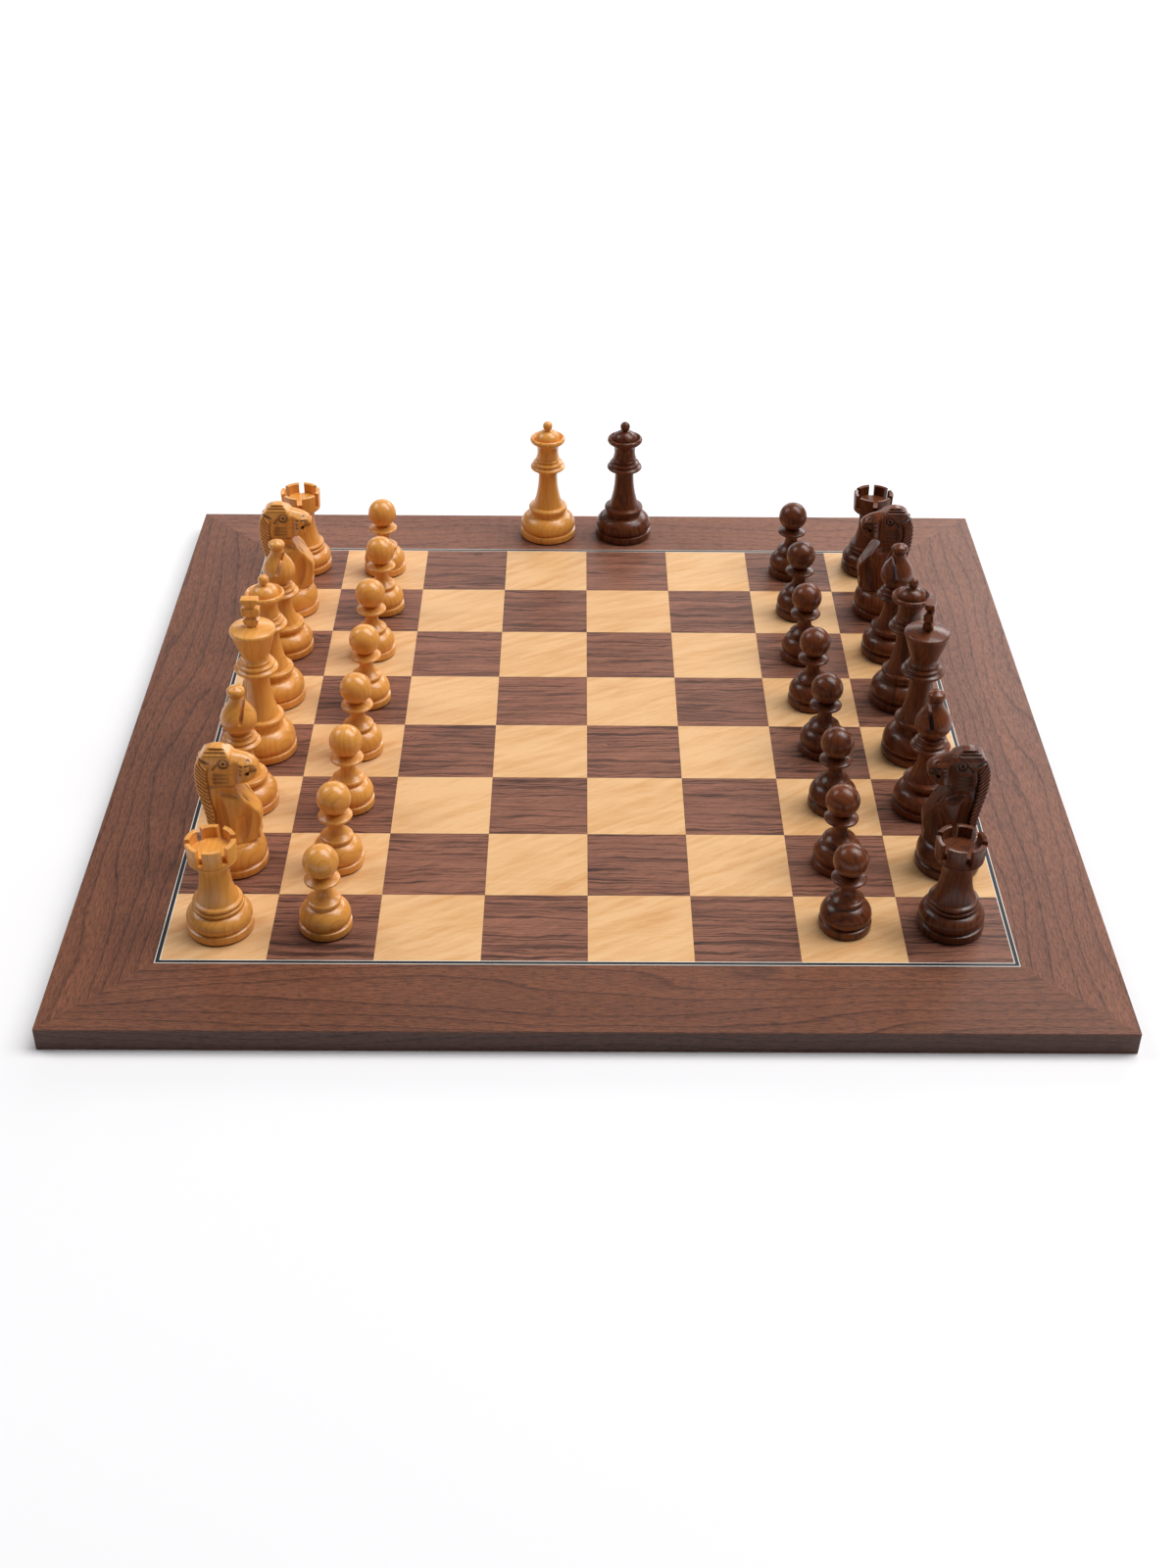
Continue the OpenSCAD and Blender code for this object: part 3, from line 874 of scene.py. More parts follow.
class Carving:
    """A symmetric solid on a grid, given by its distance field and cut smoothly, with painted shade along
    its cuts. Millimetres.
    """

    # Width in millimetres of the painted shade that a cut leaves along its surface.
    painted_shade_width = 0.32

    def __init__(self, low: tuple[float, float], high: tuple[float, float], half: float,
                 step: float) -> None:
        """Lays the grid out.

        Args:
            low: lowest x and z.
            high: highest x and z.
            half: farthest y; the other half is the mirror image.
            step: spacing.
        """
        self.step = step
        self.x = np.arange(low[0], high[0], step)[:, None, None]
        self.y = (np.arange(0, half, step) + step / 2)[None, :, None]
        self.z = np.arange(low[1], high[1], step)[None, None, :]
        self.field = np.zeros((self.x.size, self.y.size, self.z.size))
        self.painted_shade = np.zeros(self.field.shape)

    @staticmethod
    def soft_max(a: np.ndarray, b: np.ndarray, k: float) -> np.ndarray:
        """Larger of two fields, rounded over k."""
        h = np.maximum(k - np.abs(a - b), 0) / k
        return np.maximum(a, b) + h * h * k / 4

    def meet(self, other: np.ndarray, k: float) -> None:
        """Keeps what lies in both solids."""
        self.field = self.soft_max(self.field, other, k)

    def cut(self, tool: np.ndarray, k: float, painted_shade: float = 0.0) -> None:
        """Takes a tool's solid away.

        Args:
            tool: its distance field.
            k: rounding of the new edge.
            painted_shade: how dark the cut is left, as painted shade in the hollow, from 0 to 1.
        """
        self.field = self.soft_max(self.field, -tool, k)
        if painted_shade:
            self.darken(painted_shade * np.exp(-(np.maximum(tool, 0) / self.painted_shade_width)**2))

    def darken(self, amount: np.ndarray) -> None:
        """Raises the painted shade to at least that amount."""
        self.painted_shade = np.maximum(self.painted_shade, amount)

    def join(self, other: np.ndarray, k: float) -> None:
        """Adds a solid."""
        self.field = -self.soft_max(-self.field, -other, k)

    def rod(self, a: tuple[float, float, float], b: tuple[float, float, float], r0: float,
            r1: float | None = None) -> np.ndarray:
        """Rod with round ends.

        Args:
            a: one end.
            b: the other end.
            r0: radius at a.
            r1: radius at b, or None for r0.

        Returns:
            Its distance field.
        """
        a, b = np.array(a, float), np.array(b, float)
        e = b - a
        px, py, pz = self.x - a[0], self.y - a[1], self.z - a[2]
        t = np.clip((px * e[0] + py * e[1] + pz * e[2]) / max(e @ e, TINY), 0, 1)
        away = np.sqrt((px - t * e[0])**2 + (py - t * e[1])**2 + (pz - t * e[2])**2)
        return away - (r0 + ((r0 if r1 is None else r1) - r0) * t)

    def egg(self, middle: tuple[float, float, float], radii: tuple[float, float, float],
            lean: float = 0.0) -> np.ndarray:
        """Ellipsoid.

        Args:
            middle: its middle.
            radii: half sizes along its own x, y and z.
            lean: turn about Y in degrees, which carries its top towards +X.

        Returns:
            Roughly its distance field.
        """
        c, s = math.cos(math.radians(lean)), math.sin(math.radians(lean))
        px, py, pz = self.x - middle[0], self.y - middle[1], self.z - middle[2]
        qx, qz = px * c - pz * s, px * s + pz * c
        scaled = np.sqrt((qx / radii[0])**2 + (py / radii[1])**2 + (qz / radii[2])**2)
        return (scaled - 1) * min(radii)

    def mesh(self, name: str) -> bpy.types.Mesh:
        """Surface of the whole solid.

        Args:
            name: name of the mesh.

        Returns:
            A closed mesh in metres, with the painted shade as an attribute.
        """
        field, painted_shade = (np.concatenate([a[:, ::-1], a], 1) for a in (self.field, self.painted_shade))
        start = np.array([self.x.flat[0], -self.y.flat[-1], self.z.flat[0]])
        points, faces = surface_net(field)
        made = bpy.data.meshes.new(name)
        made.from_pydata(((points * self.step + start) * MM).tolist(), [], faces.tolist())
        made.shade_smooth()
        near = np.rint(points).astype(int)
        made.attributes.new("painted_shade", "FLOAT", "POINT").data.foreach_set(
            "value", painted_shade[tuple(near.T)].astype(np.float32))
        return made


def surface_net(field: np.ndarray) -> tuple[np.ndarray, np.ndarray]:
    """Quads along the zero of a field.

    Args:
        field: values on a grid, negative inside.

    Returns:
        Points in grid units, and the corner numbers of each quad, facing outwards.
    """
    inside = field < 0
    size = np.array(field.shape) - 1
    total, count = np.zeros((*size, 3)), np.zeros(size)
    grid = np.stack(np.meshgrid(*(np.arange(n) for n in size), indexing="ij"), -1).astype(float)
    crossings = []
    for axis in range(3):
        low = [slice(None)] * 3
        high = [slice(None)] * 3
        low[axis], high[axis] = slice(0, -1), slice(1, None)
        a, b = field[tuple(low)], field[tuple(high)]
        crossed = inside[tuple(low)] != inside[tuple(high)]
        share = np.where(crossed, a / np.where(crossed, a - b, 1), 0)
        crossings.append(crossed)
        others = [n for n in range(3) if n != axis]
        for i in (0, 1):
            for j in (0, 1):
                pick = [slice(None)] * 3
                pick[others[0]] = slice(i, size[others[0]] + i)
                pick[others[1]] = slice(j, size[others[1]] + j)
                hit, part = crossed[tuple(pick)], share[tuple(pick)]
                spot = grid.copy()
                spot[..., axis] += part
                spot[..., others[0]] += i
                spot[..., others[1]] += j
                total += spot * hit[..., None]
                count += hit
    used = count > 0
    number = np.full(count.shape, -1)
    number[used] = np.arange(used.sum())
    points = total[used] / count[used][:, None]
    faces = []
    for axis in range(3):
        others = [(axis + 1) % 3, (axis + 2) % 3]
        where = np.argwhere(crossings[axis])
        where = where[(where[:, others[0]] > 0) & (where[:, others[1]] > 0)
                      & (where[:, others[0]] < size[others[0]]) & (where[:, others[1]] < size[others[1]])]
        quad = []
        for i, j in ((0, 0), (1, 0), (1, 1), (0, 1)):
            w = where.copy()
            w[:, others[0]] -= i
            w[:, others[1]] -= j
            quad.append(number[tuple(w.T)])
        quad = np.stack(quad, 1)
        entering = ~inside[tuple(where.T)]
        quad[entering] = quad[entering][:, ::-1]
        faces.append(quad)
    return points, np.concatenate(faces)


@dataclass
class KnightHead:
    """Carved head and neck of a knight that looks along +X. Millimetres above the board."""

    base_z: float = 18.8
    step: float = 0.33
    eye: tuple[float, float] = (0.3, 69.0)
    eye_ring: float = 2.45
    cheek_y: float = 7.0
    mane_gap: float = 2.7
    back_steps: int = 50
    # Outline from the side, as x and z.
    side: Sequence[tuple[float, float]] = (
        (-10.4, 18.8), (-11.2, 27), (-11.8, 34), (-13.4, 42), (-15.2, 49), (-16.0, 57), (-15.4, 64),
        (-13.0, 70), (-9.8, 74.4), (-5.4, 76.8), (-1.0, 76.6), (1.6, 75.0), (4.2, 73.4), (8.2, 72.2),
        (12.0, 71.0), (15.0, 69.2), (17.2, 66.6), (17.4, 63.4), (16.2, 60.0), (13.4, 57.6), (8.4, 56.2),
        (5.2, 54.4), (5.6, 52.0), (9.4, 46.6), (13.4, 40.8), (16.4, 36.2), (16.9, 31.0), (15.6, 25),
        (13.4, 18.8))
    # Half width at each z, and then at each x.
    front: Sequence[tuple[float, float]] = (
        (18, 10.6), (26, 11.2), (36, 10.2), (46, 8.3), (53.6, 6.9), (55.6, 7.3), (62, 7.3), (69, 7.0),
        (72.4, 6.2), (74.6, 4.6), (77.4, 2.4))
    plan: Sequence[tuple[float, float]] = (
        (-17, 2.6), (-14.5, 4.4), (-11.5, 6.2), (-8, 8.4), (-2, 11.4), (5, 10.4), (10, 8.2), (14, 5.6),
        (17.4, 4.4), (19, 4.0))
    # Top of the bridge of the nose, as x and z, and width of the mane at each z.
    ridge: Sequence[tuple[float, float]] = (
        (1, 80), (5, 73.4), (8.2, 72.2), (12, 71), (15, 69.2), (17.2, 66.6))
    mane_width: Sequence[tuple[float, float]] = (
        (19, 4.2), (30, 4.8), (45, 6.0), (55, 7.2), (66, 6.4), (70, 0.1))

    def mane_place(self, c: Carving) -> tuple[np.ndarray, np.ndarray]:
        """Place along and across the mane.

        Args:
            c: the carving whose grid is used.

        Returns:
            Length along the back, and distance in from it, at every x and z.
        """
        back = smooth_outline(self.side)[:self.back_steps]
        run = np.concatenate([[0], np.cumsum(np.hypot(*np.diff(back, axis=0).T))])
        x, z = c.x, c.z
        best, along = np.full((c.x.size, 1, c.z.size), 1e9), np.zeros((c.x.size, 1, c.z.size))
        for a, b, s in zip(back[:-1], back[1:], run):
            e = b - a
            t = np.clip(((x - a[0]) * e[0] + (z - a[1]) * e[1]) / max(e @ e, TINY), 0, 1)
            far = np.hypot(x - a[0] - t * e[0], z - a[1] - t * e[1])
            along = np.where(far < best, s + t * np.hypot(*e), along)
            best = np.minimum(best, far)
        return along, best

    def carve(self) -> bpy.types.Mesh:
        """Whole head: body, hollows, face and mane.

        Returns:
            A closed mesh in metres, standing at the origin.
        """
        c = Carving((-18.5, self.base_z - 1), (20, 79), 13, self.step)
        side = outline_distance(smooth_outline(self.side), c.x, c.z)
        front = np.interp(c.z, *zip(*self.front))
        plan = np.interp(c.x, *zip(*self.plan))
        c.field = np.broadcast_to(side, c.field.shape).copy()
        c.meet((c.y - front) * 0.97, 1.1)
        c.meet((c.y - plan) * 0.85, 1.2)
        ridge = np.interp(c.x, *zip(*self.ridge))
        c.meet(c.y * 0.62 + (c.z - ridge) * 0.78 - 1.3, 1.2)
        self.hollows(c)
        self.mane(c)
        self.face(c)
        c.field = np.maximum(c.field, self.base_z - c.z)
        return c.mesh("knight_head")

    @staticmethod
    def hollows(c: Carving) -> None:
        """Scoops of the neck and shoulder, the pinch of the muzzle and the nicks of the chest.

        Args:
            c: the carving that is cut.
        """
        c.cut(c.egg((9.4, 11.6, 33), (4.4, 6.2, 15.5), 14), 1.0)
        c.cut(c.egg((-3.4, 11.4, 37), (3.8, 6.2, 17), -4), 1.0)
        c.cut(c.egg((6.4, 9.8, 64), (3.2, 4.2, 12)), 0.9)
        c.cut(c.egg((1.0, 10.6, 50.2), (7.5, 5.4, 4.2), 20), 0.9)
        # The jaw line and the chest nicks carry painted shade in their grooves.
        c.cut(c.rod((-9, 7.6, 54.4), (4.4, 7.2, 54.9), 1.1, 0.7), 0.4, 0.5)
        for z in (46.2, 45.0, 43.8):
            back = (z - 45) * 0.6
            c.cut(c.rod((9.4 - back, 4.9, z + 1.2), (12.6 - back, 3.6, z - 1.0), 0.34), 0.2, 0.9)

    def mane(self, c: Carving) -> None:
        """Rope-like locks down the back, set off from the neck by a groove.

        Args:
            c: the carving that is cut.
        """
        along, inward = self.mane_place(c)
        width = np.interp(c.z, *zip(*self.mane_width))
        mask = np.clip((width - inward) / 0.5, 0, 1) * np.clip((c.z - 19) / 3, 0, 1)
        lock = (along + inward * 0.6 + c.y * 0.2) / self.mane_gap
        notch = np.abs((lock % 1.0) - 0.5) * 2
        deep = mask * np.clip(notch * 2.0 - 0.95, 0, 1)
        c.field -= mask * 0.7 * np.clip((c.y - 1.5) / 2, 0, 1)
        c.field += deep * 1.5
        ditch = np.exp(-((inward - width) / 0.55)**2) * np.clip((68 - c.z) / 4, 0, 1)
        c.field += ditch
        # Painted shade in the notches between the locks and in the groove beside the mane.
        c.darken(deep * 0.9)
        c.darken(ditch * 0.45)

    def face(self, c: Carving) -> None:
        """Eye, ear, forelock, cheek, nostril and mouth, cut into both sides.

        Args:
            c: the carving that is cut.
        """
        ex, ez = self.eye
        away = np.hypot(c.x - ex, c.z - ez)
        # The last number of each cut is painted shade laid in its hollow.
        c.cut(np.hypot(away - self.eye_ring, (c.y - self.cheek_y) * 0.9) - 0.5, 0.2, 1.0)
        c.cut(c.rod((ex, 6.4, ez), (ex, 8, ez), 0.7, 0.8), 0.2, 1.0)
        c.cut(c.rod((-5.4, 7.1, 65.6), (-2.7, 7.1, 68.8), 0.5, 0.35), 0.2, 1.0)
        c.cut(c.rod((-14.2, 4.6, 71.6), (-7.2, 7.4, 68.9), 1.4, 0.35), 0.3, 1.0)
        for y, z in ((6.2, 74.0), (4.7, 75.6), (3.1, 76.9)):
            c.cut(c.rod((-9.6, y, z - 1.2), (1.5 - (6.2 - y) * 0.3, y, z - 1.3), 0.62, 0.5), 0.25, 0.7)
        for z, low in ((62.2, -4.8), (59.8, -5.4), (57.4, -5.0)):
            c.cut(c.rod((low, 7.6, z), (1.4, 7.8, z), 0.95, 0.6), 0.35, 0.7)
        for z in (67.6, 65.0, 62.4):
            c.cut(c.rod((4.4, 7.3, z), (9.8, 6.4, z - 0.5), 0.6, 0.45), 0.3, 0.55)
        c.cut(c.rod((13.2, 4.2, 69.6), (13.4, 7, 70.3), 1.0, 1.2), 0.3, 1.0)
        c.cut(c.rod((12.2, 4.2, 62.2), (12.2, 7, 62.3), 0.85, 1.0), 0.25, 1.0)
        c.cut(c.rod((11.4, 6.2, 66.9), (17.8, 4.2, 66.3), 0.4), 0.2, 1.0)
        c.cut(c.rod((13.0, 5.9, 63.3), (18.0, 4.2, 63.5), 0.4), 0.2, 1.0)
        for x in (14.0, 15.4, 16.8):
            y = 6.2 - (x - 12) * 0.33
            c.cut(c.rod((x, y, 66.2), (x, y, 63.8), 0.3), 0.15, 0.9)


@dataclass
class CrossFinial:
    """Flared cross of a king, on its disc and spigot. Millimetres above the board."""

    step: float = 0.18
    depth: float = 2.8
    disc_r: float = 3.2
    spigot_r: float = 2.0
    # Middle and half height of each part, heights of the two necks, and half width at each z.
    cross: tuple[float, float] = (94.3, 8.1)
    disc: tuple[float, float] = (85.7, 0.55)
    spigot: tuple[float, float] = (83.5, 2.7)
    necks: tuple[float, float] = (90.8, 97.0)
    half: Sequence[tuple[float, float]] = (
        (86.2, 3.5), (88.8, 4.7), (90.7, 2.5), (91.4, 4.8), (96.3, 5.3), (97.1, 2.2), (101.2, 5.2),
        (102.4, 4.7))

    def carve(self) -> bpy.types.Mesh:
        """Cross, disc and spigot as one solid.

        Returns:
            A closed mesh in metres, standing at the origin.
        """
        c = Carving((-6.6, 80.2), (6.6, 103.4), 4.4, self.step)
        cross, disc, spigot = (np.abs(c.z - middle) - half
                               for middle, half in (self.cross, self.disc, self.spigot))
        wide = np.interp(c.z, *zip(*self.half))
        deep = self.depth - sum(np.clip(1.2 - np.abs(c.z - z), 0, 1.1) for z in self.necks)
        block = Carving.soft_max(np.abs(c.x) - wide, c.y - deep, 0.5) * 0.8
        c.field = Carving.soft_max(block, cross, 0.4)
        radius = np.hypot(c.x, c.y)
        c.join(Carving.soft_max(radius - self.disc_r, disc, 0.4), 0.15)
        c.join(np.maximum(radius - self.spigot_r, spigot), 0.1)
        return c.mesh("cross_finial")


# ---- The pieces ----------------------------------------------------------------------------------


@dataclass
class PieceMaker:
    """Makes each kind of piece once and stands copies of it on the board."""

    lathe: Lathe
    notches: RingOfCuts
    scallops: RingOfCuts
    minor_r: float = 17.8
    tall_r: float = 19.2
    rook_r: float = 17.5
    pawn_r: float = 13.9
    scallop_count: int = 12
    notch_count: int = 6
    slot_lean: float = 15.0
    wood_edge: float = 38.0
    felt_edge: float = 50.0

    def __post_init__(self) -> None:
        """Starts the store of finished kinds."""
        self.made: dict[tuple[str, Finish], bpy.types.Mesh] = {}

    def pawn(self, wood: bpy.types.Material) -> bpy.types.Mesh:
        """Pawn with a ball head."""
        return self.lathe.turn([
            *foot(self.pawn_r, 8.4, 16.3), *bead(9.1, 17.2, 19.4, 1), *hollow(7.7, 19.8, 4, 27.5, 3),
            (4.4, 29.5), (5.8, 30.7), *arc(8.4, 31.8, 1, 0.9, -80, 70, 10), (4.6, 34.4),
            *arc(0, 43, 9.3, 9.3, -66, 90, 36)], wood)

    def rook(self, wood: bpy.types.Material) -> bpy.types.Mesh:
        """Rook whose crown is notched into merlons."""
        solid = self.lathe.turn([
            *foot(self.rook_r, 12.4, 14.6), *bead(13.6, 14.9, 17.1, 1), *bead(13.1, 17.4, 19.7, 1),
            *hollow(11.2, 20.1, 8, 37.5, 2.2), (8.3, 40.8), (9.2, 43.2), (11.2, 44.6),
            *bead(12.6, 44.7, 46.0, 0.6), (12.7, 46.3), (13.15, 56.2), (13.05, 56.6), (12.8, 56.8),
            (10.8, 56.8), (10.5, 56.6), (10.2, 50.6), (0, 50.6)], wood)
        return self.notches.cut(solid, wood, self.notch_count, 12.4, 53.6, (6, 3.4, 12), start=-90)

    def bishop(self, wood: bpy.types.Material) -> bpy.types.Mesh:
        """Bishop with a sawn mitre and a knob.

        Args:
            wood: its finish.

        Returns:
            A closed mesh that stands at the origin.
        """
        solid = self.lathe.turn([
            *foot(self.minor_r, 11.3, 15.6), *bead(13, 17.4, 20.6, 1.2), *hollow(9.8, 21.1, 5.9, 39, 2.2),
            *collar(11.2, 42, 5.9), (5.6, 49), (5.6, 49.8), *arc(3.8, 57, 6.4, 7.4, -66, 22, 20),
            (9.1, 61.4), (8.2, 63.2), (6.2, 66), (4.6, 68.8), (4.0, 71.2), (3.9, 71.9),
            *arc(2.4, 74.6, 2.7, 2.7, -62, 60, 14), *arc(0, 74.6, 3.8, 3.5, 50, 90, 6)], wood)
        length, lean = 12.6, math.radians(self.slot_lean)
        radius, height = 0.5 + length / 2 * math.sin(lean), 58 + length / 2 * math.cos(lean)
        return self.notches.cut(solid, wood, 1, radius, height, (2.2, 24, length), self.slot_lean)

    def queen(self, wood: bpy.types.Material) -> bpy.types.Mesh:
        """Queen with a scalloped coronet."""
        solid = self.lathe.turn([
            *foot(self.tall_r, 12, 16.8), (12, 18.4), *bead(13.3, 19.5, 22.5, 1.2),
            *hollow(10.4, 22.9, 6.4, 47, 2.2), *collar(11.9, 52, 6.4), *hollow(7.8, 59.4, 7.1, 63.5, 2, 6),
            (7.4, 67), (8.6, 69.4), *arc(10.2, 72.2, 1.7, 1.9, -80, 80, 14), (9.3, 73), (8.7, 72.2),
            *arc(0, 72.6, 8.4, 6.4, 0, 66, 14), (2, 78.8), *arc(0, 81.9, 3.3, 3.3, -58, 90, 18)], wood)
        return self.scallops.cut(solid, wood, self.scallop_count, 13.3, 72.8, (1.7, 0, 14),
                                 lean=-24, start=15)

    def king(self, wood: bpy.types.Material) -> bpy.types.Mesh:
        """King, bored for the spigot of its cross."""
        return self.lathe.turn([
            *foot(self.tall_r, 12.4, 18), (12, 20.2), *bead(13.3, 22.2, 25.4, 1.2),
            *hollow(10.8, 25.8, 6.7, 52, 2.2), *collar(12.7, 57, 6.7), (7.8, 65.2), (8.3, 67), (12.3, 79),
            *arc(11.6, 81.6, 1.6, 1.8, -25, 65, 10), *arc(0, 79.4, 12.3, 5.6, 56, 80.4, 8),
            (2.05, 80.5), (0, 80.5)], wood)

    def knight(self, wood: bpy.types.Material) -> bpy.types.Mesh:
        """Turned base of a knight."""
        return self.lathe.turn([
            *foot(self.minor_r, 13.5, 17.6), (13.0, 18.5), (12.2, 18.8), (0, 18.8)], wood)

    def felt(self, radius: float) -> bpy.types.Mesh:
        """Felt disc under a foot of that radius."""
        r = radius - 0.7
        return self.lathe.turn([(0, 0), (r - 0.15, 0), (r, 0.15), (r, 0.65), (r - 0.15, 0.8), (0, 0.8)],
                               Finish.FELT.material(), 72)

    def head(self, wood: bpy.types.Material) -> bpy.types.Mesh:
        """Carved knight's head."""
        return self.dressed(KnightHead().carve(), wood)

    def finial(self, wood: bpy.types.Material) -> bpy.types.Mesh:
        """King's cross."""
        return self.dressed(CrossFinial().carve(), wood)

    @staticmethod
    def dressed(mesh: bpy.types.Mesh, wood: bpy.types.Material) -> bpy.types.Mesh:
        """Gives a mesh its only material."""
        mesh.materials.append(wood)
        return mesh

    def radius(self, kind: str) -> float:
        """Foot radius of a kind of piece."""
        return {"pawn": self.pawn_r, "rook": self.rook_r, "bishop": self.minor_r,
                "knight": self.minor_r}.get(kind, self.tall_r)

    def kind(self, kind: str, finish: Finish) -> bpy.types.Mesh:
        """Mesh of a kind of part in a wood, made the first time it is asked for.

        Args:
            kind: name of the method that makes it.
            finish: its wood.

        Returns:
            The mesh, at the origin.
        """
        key = (kind, finish)
        if key not in self.made:
            mesh = getattr(self, kind)(finish.material())
            if kind not in ("head", "finial"):
                mesh.set_sharp_from_angle(angle=math.radians(self.wood_edge))
            self.made[key] = mesh
        return self.made[key]

    def stand(self, name: str, mesh: bpy.types.Mesh, piece: Piece) -> bpy.types.Object:
        """Puts a copy of a mesh in a piece's place, and on its body.

        Args:
            name: name of the new object.
            mesh: mesh at the origin.
            piece: the piece that it belongs to.

        Returns:
            The object, at the origin with its place in its mesh.
        """
        placed = mesh.copy()
        placed.transform(piece.stand())
        placed.name = name
        made = bpy.data.objects.new(name, placed)
        bpy.context.scene.collection.objects.link(made)
        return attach(made, piece.name + "_body")

    def build(self, piece: Piece) -> None:
        """Makes one piece with its felt, and its head or cross.

        Args:
            piece: the piece.
        """
        wood = self.stand(piece.name + "_wood", self.kind(piece.kind, piece.wood), piece)
        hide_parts(piece.name)
        key = ("felt " + piece.kind, Finish.FELT)
        if key not in self.made:
            self.made[key] = self.felt(self.radius(piece.kind))
            self.made[key].set_sharp_from_angle(angle=math.radians(self.felt_edge))
        self.stand(piece.name + "_felt", self.made[key], piece)
        if piece.kind == "knight":
            self.extra(piece, "head", piece.name.replace("knight_", "knight_head_"))
        if piece.kind == "king":
            self.extra(piece, "finial", piece.name + "_finial")
        LOG.info("%s: %d faces", piece.name, len(wood.data.polygons))

    def extra(self, piece: Piece, kind: str, node: str) -> None:
        """Adds the part that is glued to a piece.

        Args:
            piece: the piece.
            kind: head or finial.
            node: node that the part stands for.
        """
        made = self.stand(node + "_carved", self.kind(kind, piece.wood), piece)
        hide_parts(node)


@dataclass
class Board:
    """The veneered board, whose nodes keep their shape and get their finishes."""

    finishes: dict[str, Finish] = field(default_factory=lambda: {
        "board_core": Finish.CORE, "backing_veneer": Finish.BACKING, "light_squares": Finish.MAPLE,
        "dark_squares": Finish.WALNUT, "border_front": Finish.BORDER_FRONT,
        "border_back": Finish.BORDER_BACK, "border_left": Finish.BORDER_LEFT,
        "border_right": Finish.BORDER_RIGHT, "edge_front": Finish.EDGE_X,
        "edge_back": Finish.EDGE_X, "edge_left": Finish.EDGE_Y, "edge_right": Finish.EDGE_Y,
        "black_stringing": Finish.BLACK_LINE, "white_stringing_inner": Finish.WHITE_LINE,
        "white_stringing_outer": Finish.WHITE_LINE})

    def build(self, nodes: dict[str, bpy.types.Object]) -> None:
        """Dresses every node of the board.

        Args:
            nodes: the frame's nodes by name.
        """
        for name, finish in self.finishes.items():
            mesh = nodes[name].data
            mesh.materials.clear()
            mesh.materials.append(finish.material())
            LOG.info("%s: %s", name, finish.value.name)


# ---- Studio --------------------------------------------------------------------------------------


@dataclass(frozen=True)
class Softbox:
    """A rectangular lamp: where it hangs, where it aims, its size in metres and its power in watts."""

    name: str
    place: tuple[float, float, float]
    aim: tuple[float, float, float]
    size: tuple[float, float]
    power: float

    def hang(self) -> None:
        """Hangs the lamp in the studio."""
        lamp = bpy.data.lights.new(self.name, "AREA")
        lamp.shape, lamp.energy = "RECTANGLE", self.power
        lamp.size, lamp.size_y = self.size
        holder = bpy.data.objects.new(self.name, lamp)
        holder.location = self.place
        holder.rotation_euler = (Vector(self.aim) - Vector(self.place)).to_track_quat("-Z", "Y").to_euler()
        bpy.context.scene.collection.objects.link(holder)


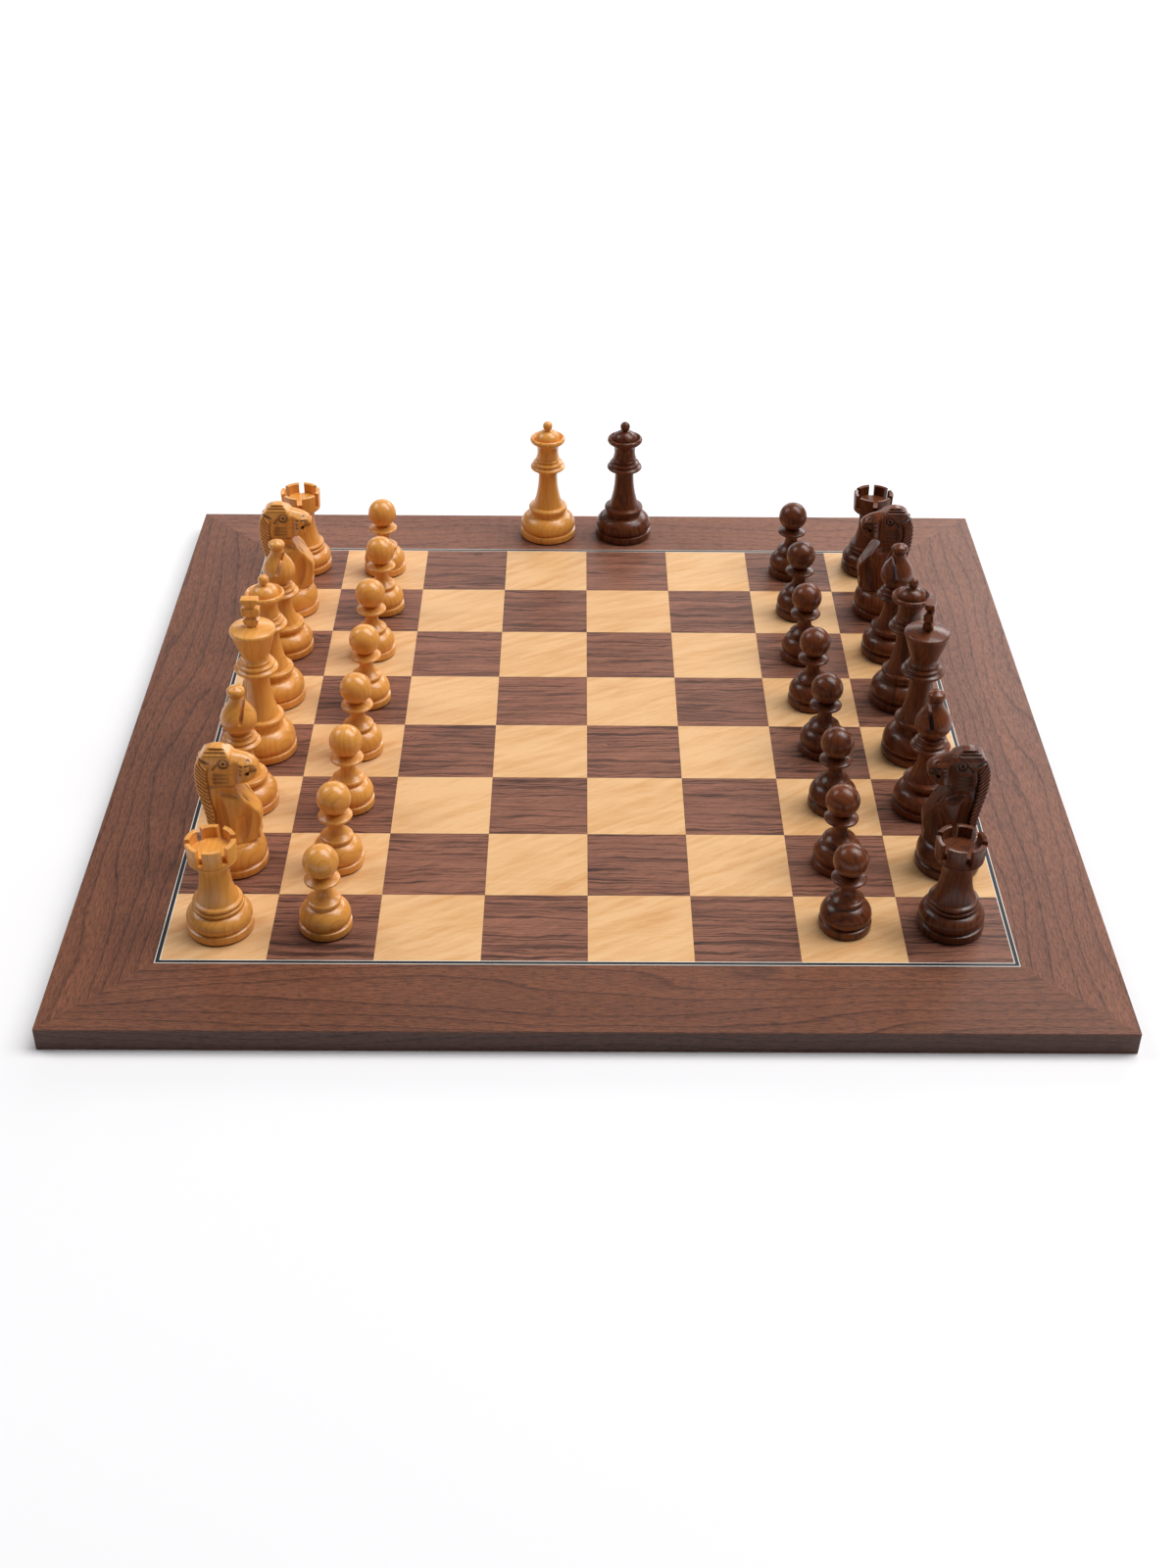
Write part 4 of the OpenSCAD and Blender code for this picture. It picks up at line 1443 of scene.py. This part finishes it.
@dataclass
class Studio:
    """Pale floor, soft lights and the camera."""

    lens: float = 45.0
    sensor: float = 36.0
    farthest: float = 50.0
    eye: tuple = (-0.0067, -0.9887, 0.667)
    forward: tuple = (0.0063, 0.8172, -0.5763)
    right: tuple = (1.0, -0.0024, 0.0076)
    floor_half: float = 6.0
    floor_z: float = -0.0002
    sky_tint: tuple = (0.97, 0.975, 1.0, 1.0)
    sky: float = 0.10
    backdrop: float = 0.85
    # Direction of the wide overhead light, its spread in degrees and its strength.
    overhead_from: tuple = (0.30, 0.22, 1.0)
    overhead_spread: float = 32.0
    overhead_strength: float = 1.72
    lamps: Sequence[Softbox] = (
        Softbox("key", (1.5, 0.05, 1.9), (0, 0, 0), (1.2, 1.2), 27.0),
        Softbox("fill", (-1.7, 0.6, 1.9), (0, 0, 0), (1.1, 1.1), 17.0),
        Softbox("rear", (1.1, 1.7, 0.95), (0.1, 0.1, 0), (1.0, 0.5), 9.0),
        Softbox("floor", (0.0, 2.6, 0.9), (0.0, 2.0, 0), (3.0, 0.8), 16.0))

    def floor(self) -> None:
        """A large pale floor under the board."""
        b = Bench("pale_floor")
        x, y, _ = b.place()
        mist = b.noise(b.vector(x / 900, y / 900, 0.0), 2.0)
        material = b.finish(b.blend(mist, (0.87, 0.86, 0.87), (0.89, 0.88, 0.89)), 0.9,
                            {"Specular IOR Level": 0.1})
        mesh = bpy.data.meshes.new("floor")
        corners = ((-1, -1), (1, -1), (1, 1), (-1, 1))
        mesh.from_pydata([(self.floor_half * i, self.floor_half * j, self.floor_z) for i, j in corners],
                         [], [(0, 1, 2, 3)])
        mesh.materials.append(material)
        floor = bpy.data.objects.new("floor", mesh)
        bpy.context.scene.collection.objects.link(floor)

    def surroundings(self) -> None:
        """Dim even sky for the object, which looks pale behind the floor."""
        world = bpy.data.worlds.new("studio")
        world.use_nodes = True
        nodes, links = world.node_tree.nodes, world.node_tree.links
        nodes["Background"].inputs[0].default_value = self.sky_tint
        path = nodes.new("ShaderNodeLightPath")
        seen = nodes.new("ShaderNodeMapRange")
        seen.inputs["To Min"].default_value = self.sky
        seen.inputs["To Max"].default_value = self.backdrop
        links.new(path.outputs["Is Camera Ray"], seen.inputs["Value"])
        links.new(seen.outputs[0], nodes["Background"].inputs[1])
        bpy.context.scene.world = world

    def overhead(self) -> None:
        """A wide soft light from above."""
        sun = bpy.data.lights.new("overhead", "SUN")
        sun.angle, sun.energy = math.radians(self.overhead_spread), self.overhead_strength
        holder = bpy.data.objects.new("overhead", sun)
        holder.rotation_euler = (-Vector(self.overhead_from)).to_track_quat("-Z", "Y").to_euler()
        bpy.context.scene.collection.objects.link(holder)

    def camera(self) -> None:
        """Camera that looks down on the board from the front."""
        data = bpy.data.cameras.new("camera")
        data.lens, data.sensor_width, data.clip_end = self.lens, self.sensor, self.farthest
        holder = bpy.data.objects.new("camera", data)
        forward = Vector(self.forward).normalized()
        right = Vector(self.right)
        right = (right - forward * right.dot(forward)).normalized()
        up = right.cross(forward)
        turn = Matrix((right, up, -forward)).transposed().to_4x4()
        holder.matrix_world = Matrix.Translation(self.eye) @ turn
        bpy.context.scene.collection.objects.link(holder)
        bpy.context.scene.camera = holder

    def build(self) -> None:
        """Sets the whole studio up."""
        bpy.context.scene.view_settings.view_transform = "Standard"
        self.floor()
        self.surroundings()
        self.overhead()
        for lamp in self.lamps:
            lamp.hang()
        self.camera()
        LOG.info("studio ready")


def main() -> None:
    """Builds the set round the frame."""
    logging.basicConfig(level=logging.INFO, format="%(message)s")
    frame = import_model()
    Board().build(frame["nodes"])
    maker = PieceMaker(Lathe(), RingOfCuts(Cutter.BOX), RingOfCuts(Cutter.ROUND))
    for piece in PIECES:
        maker.build(piece)
    Studio().build()


if __name__ == "__main__":
    main()
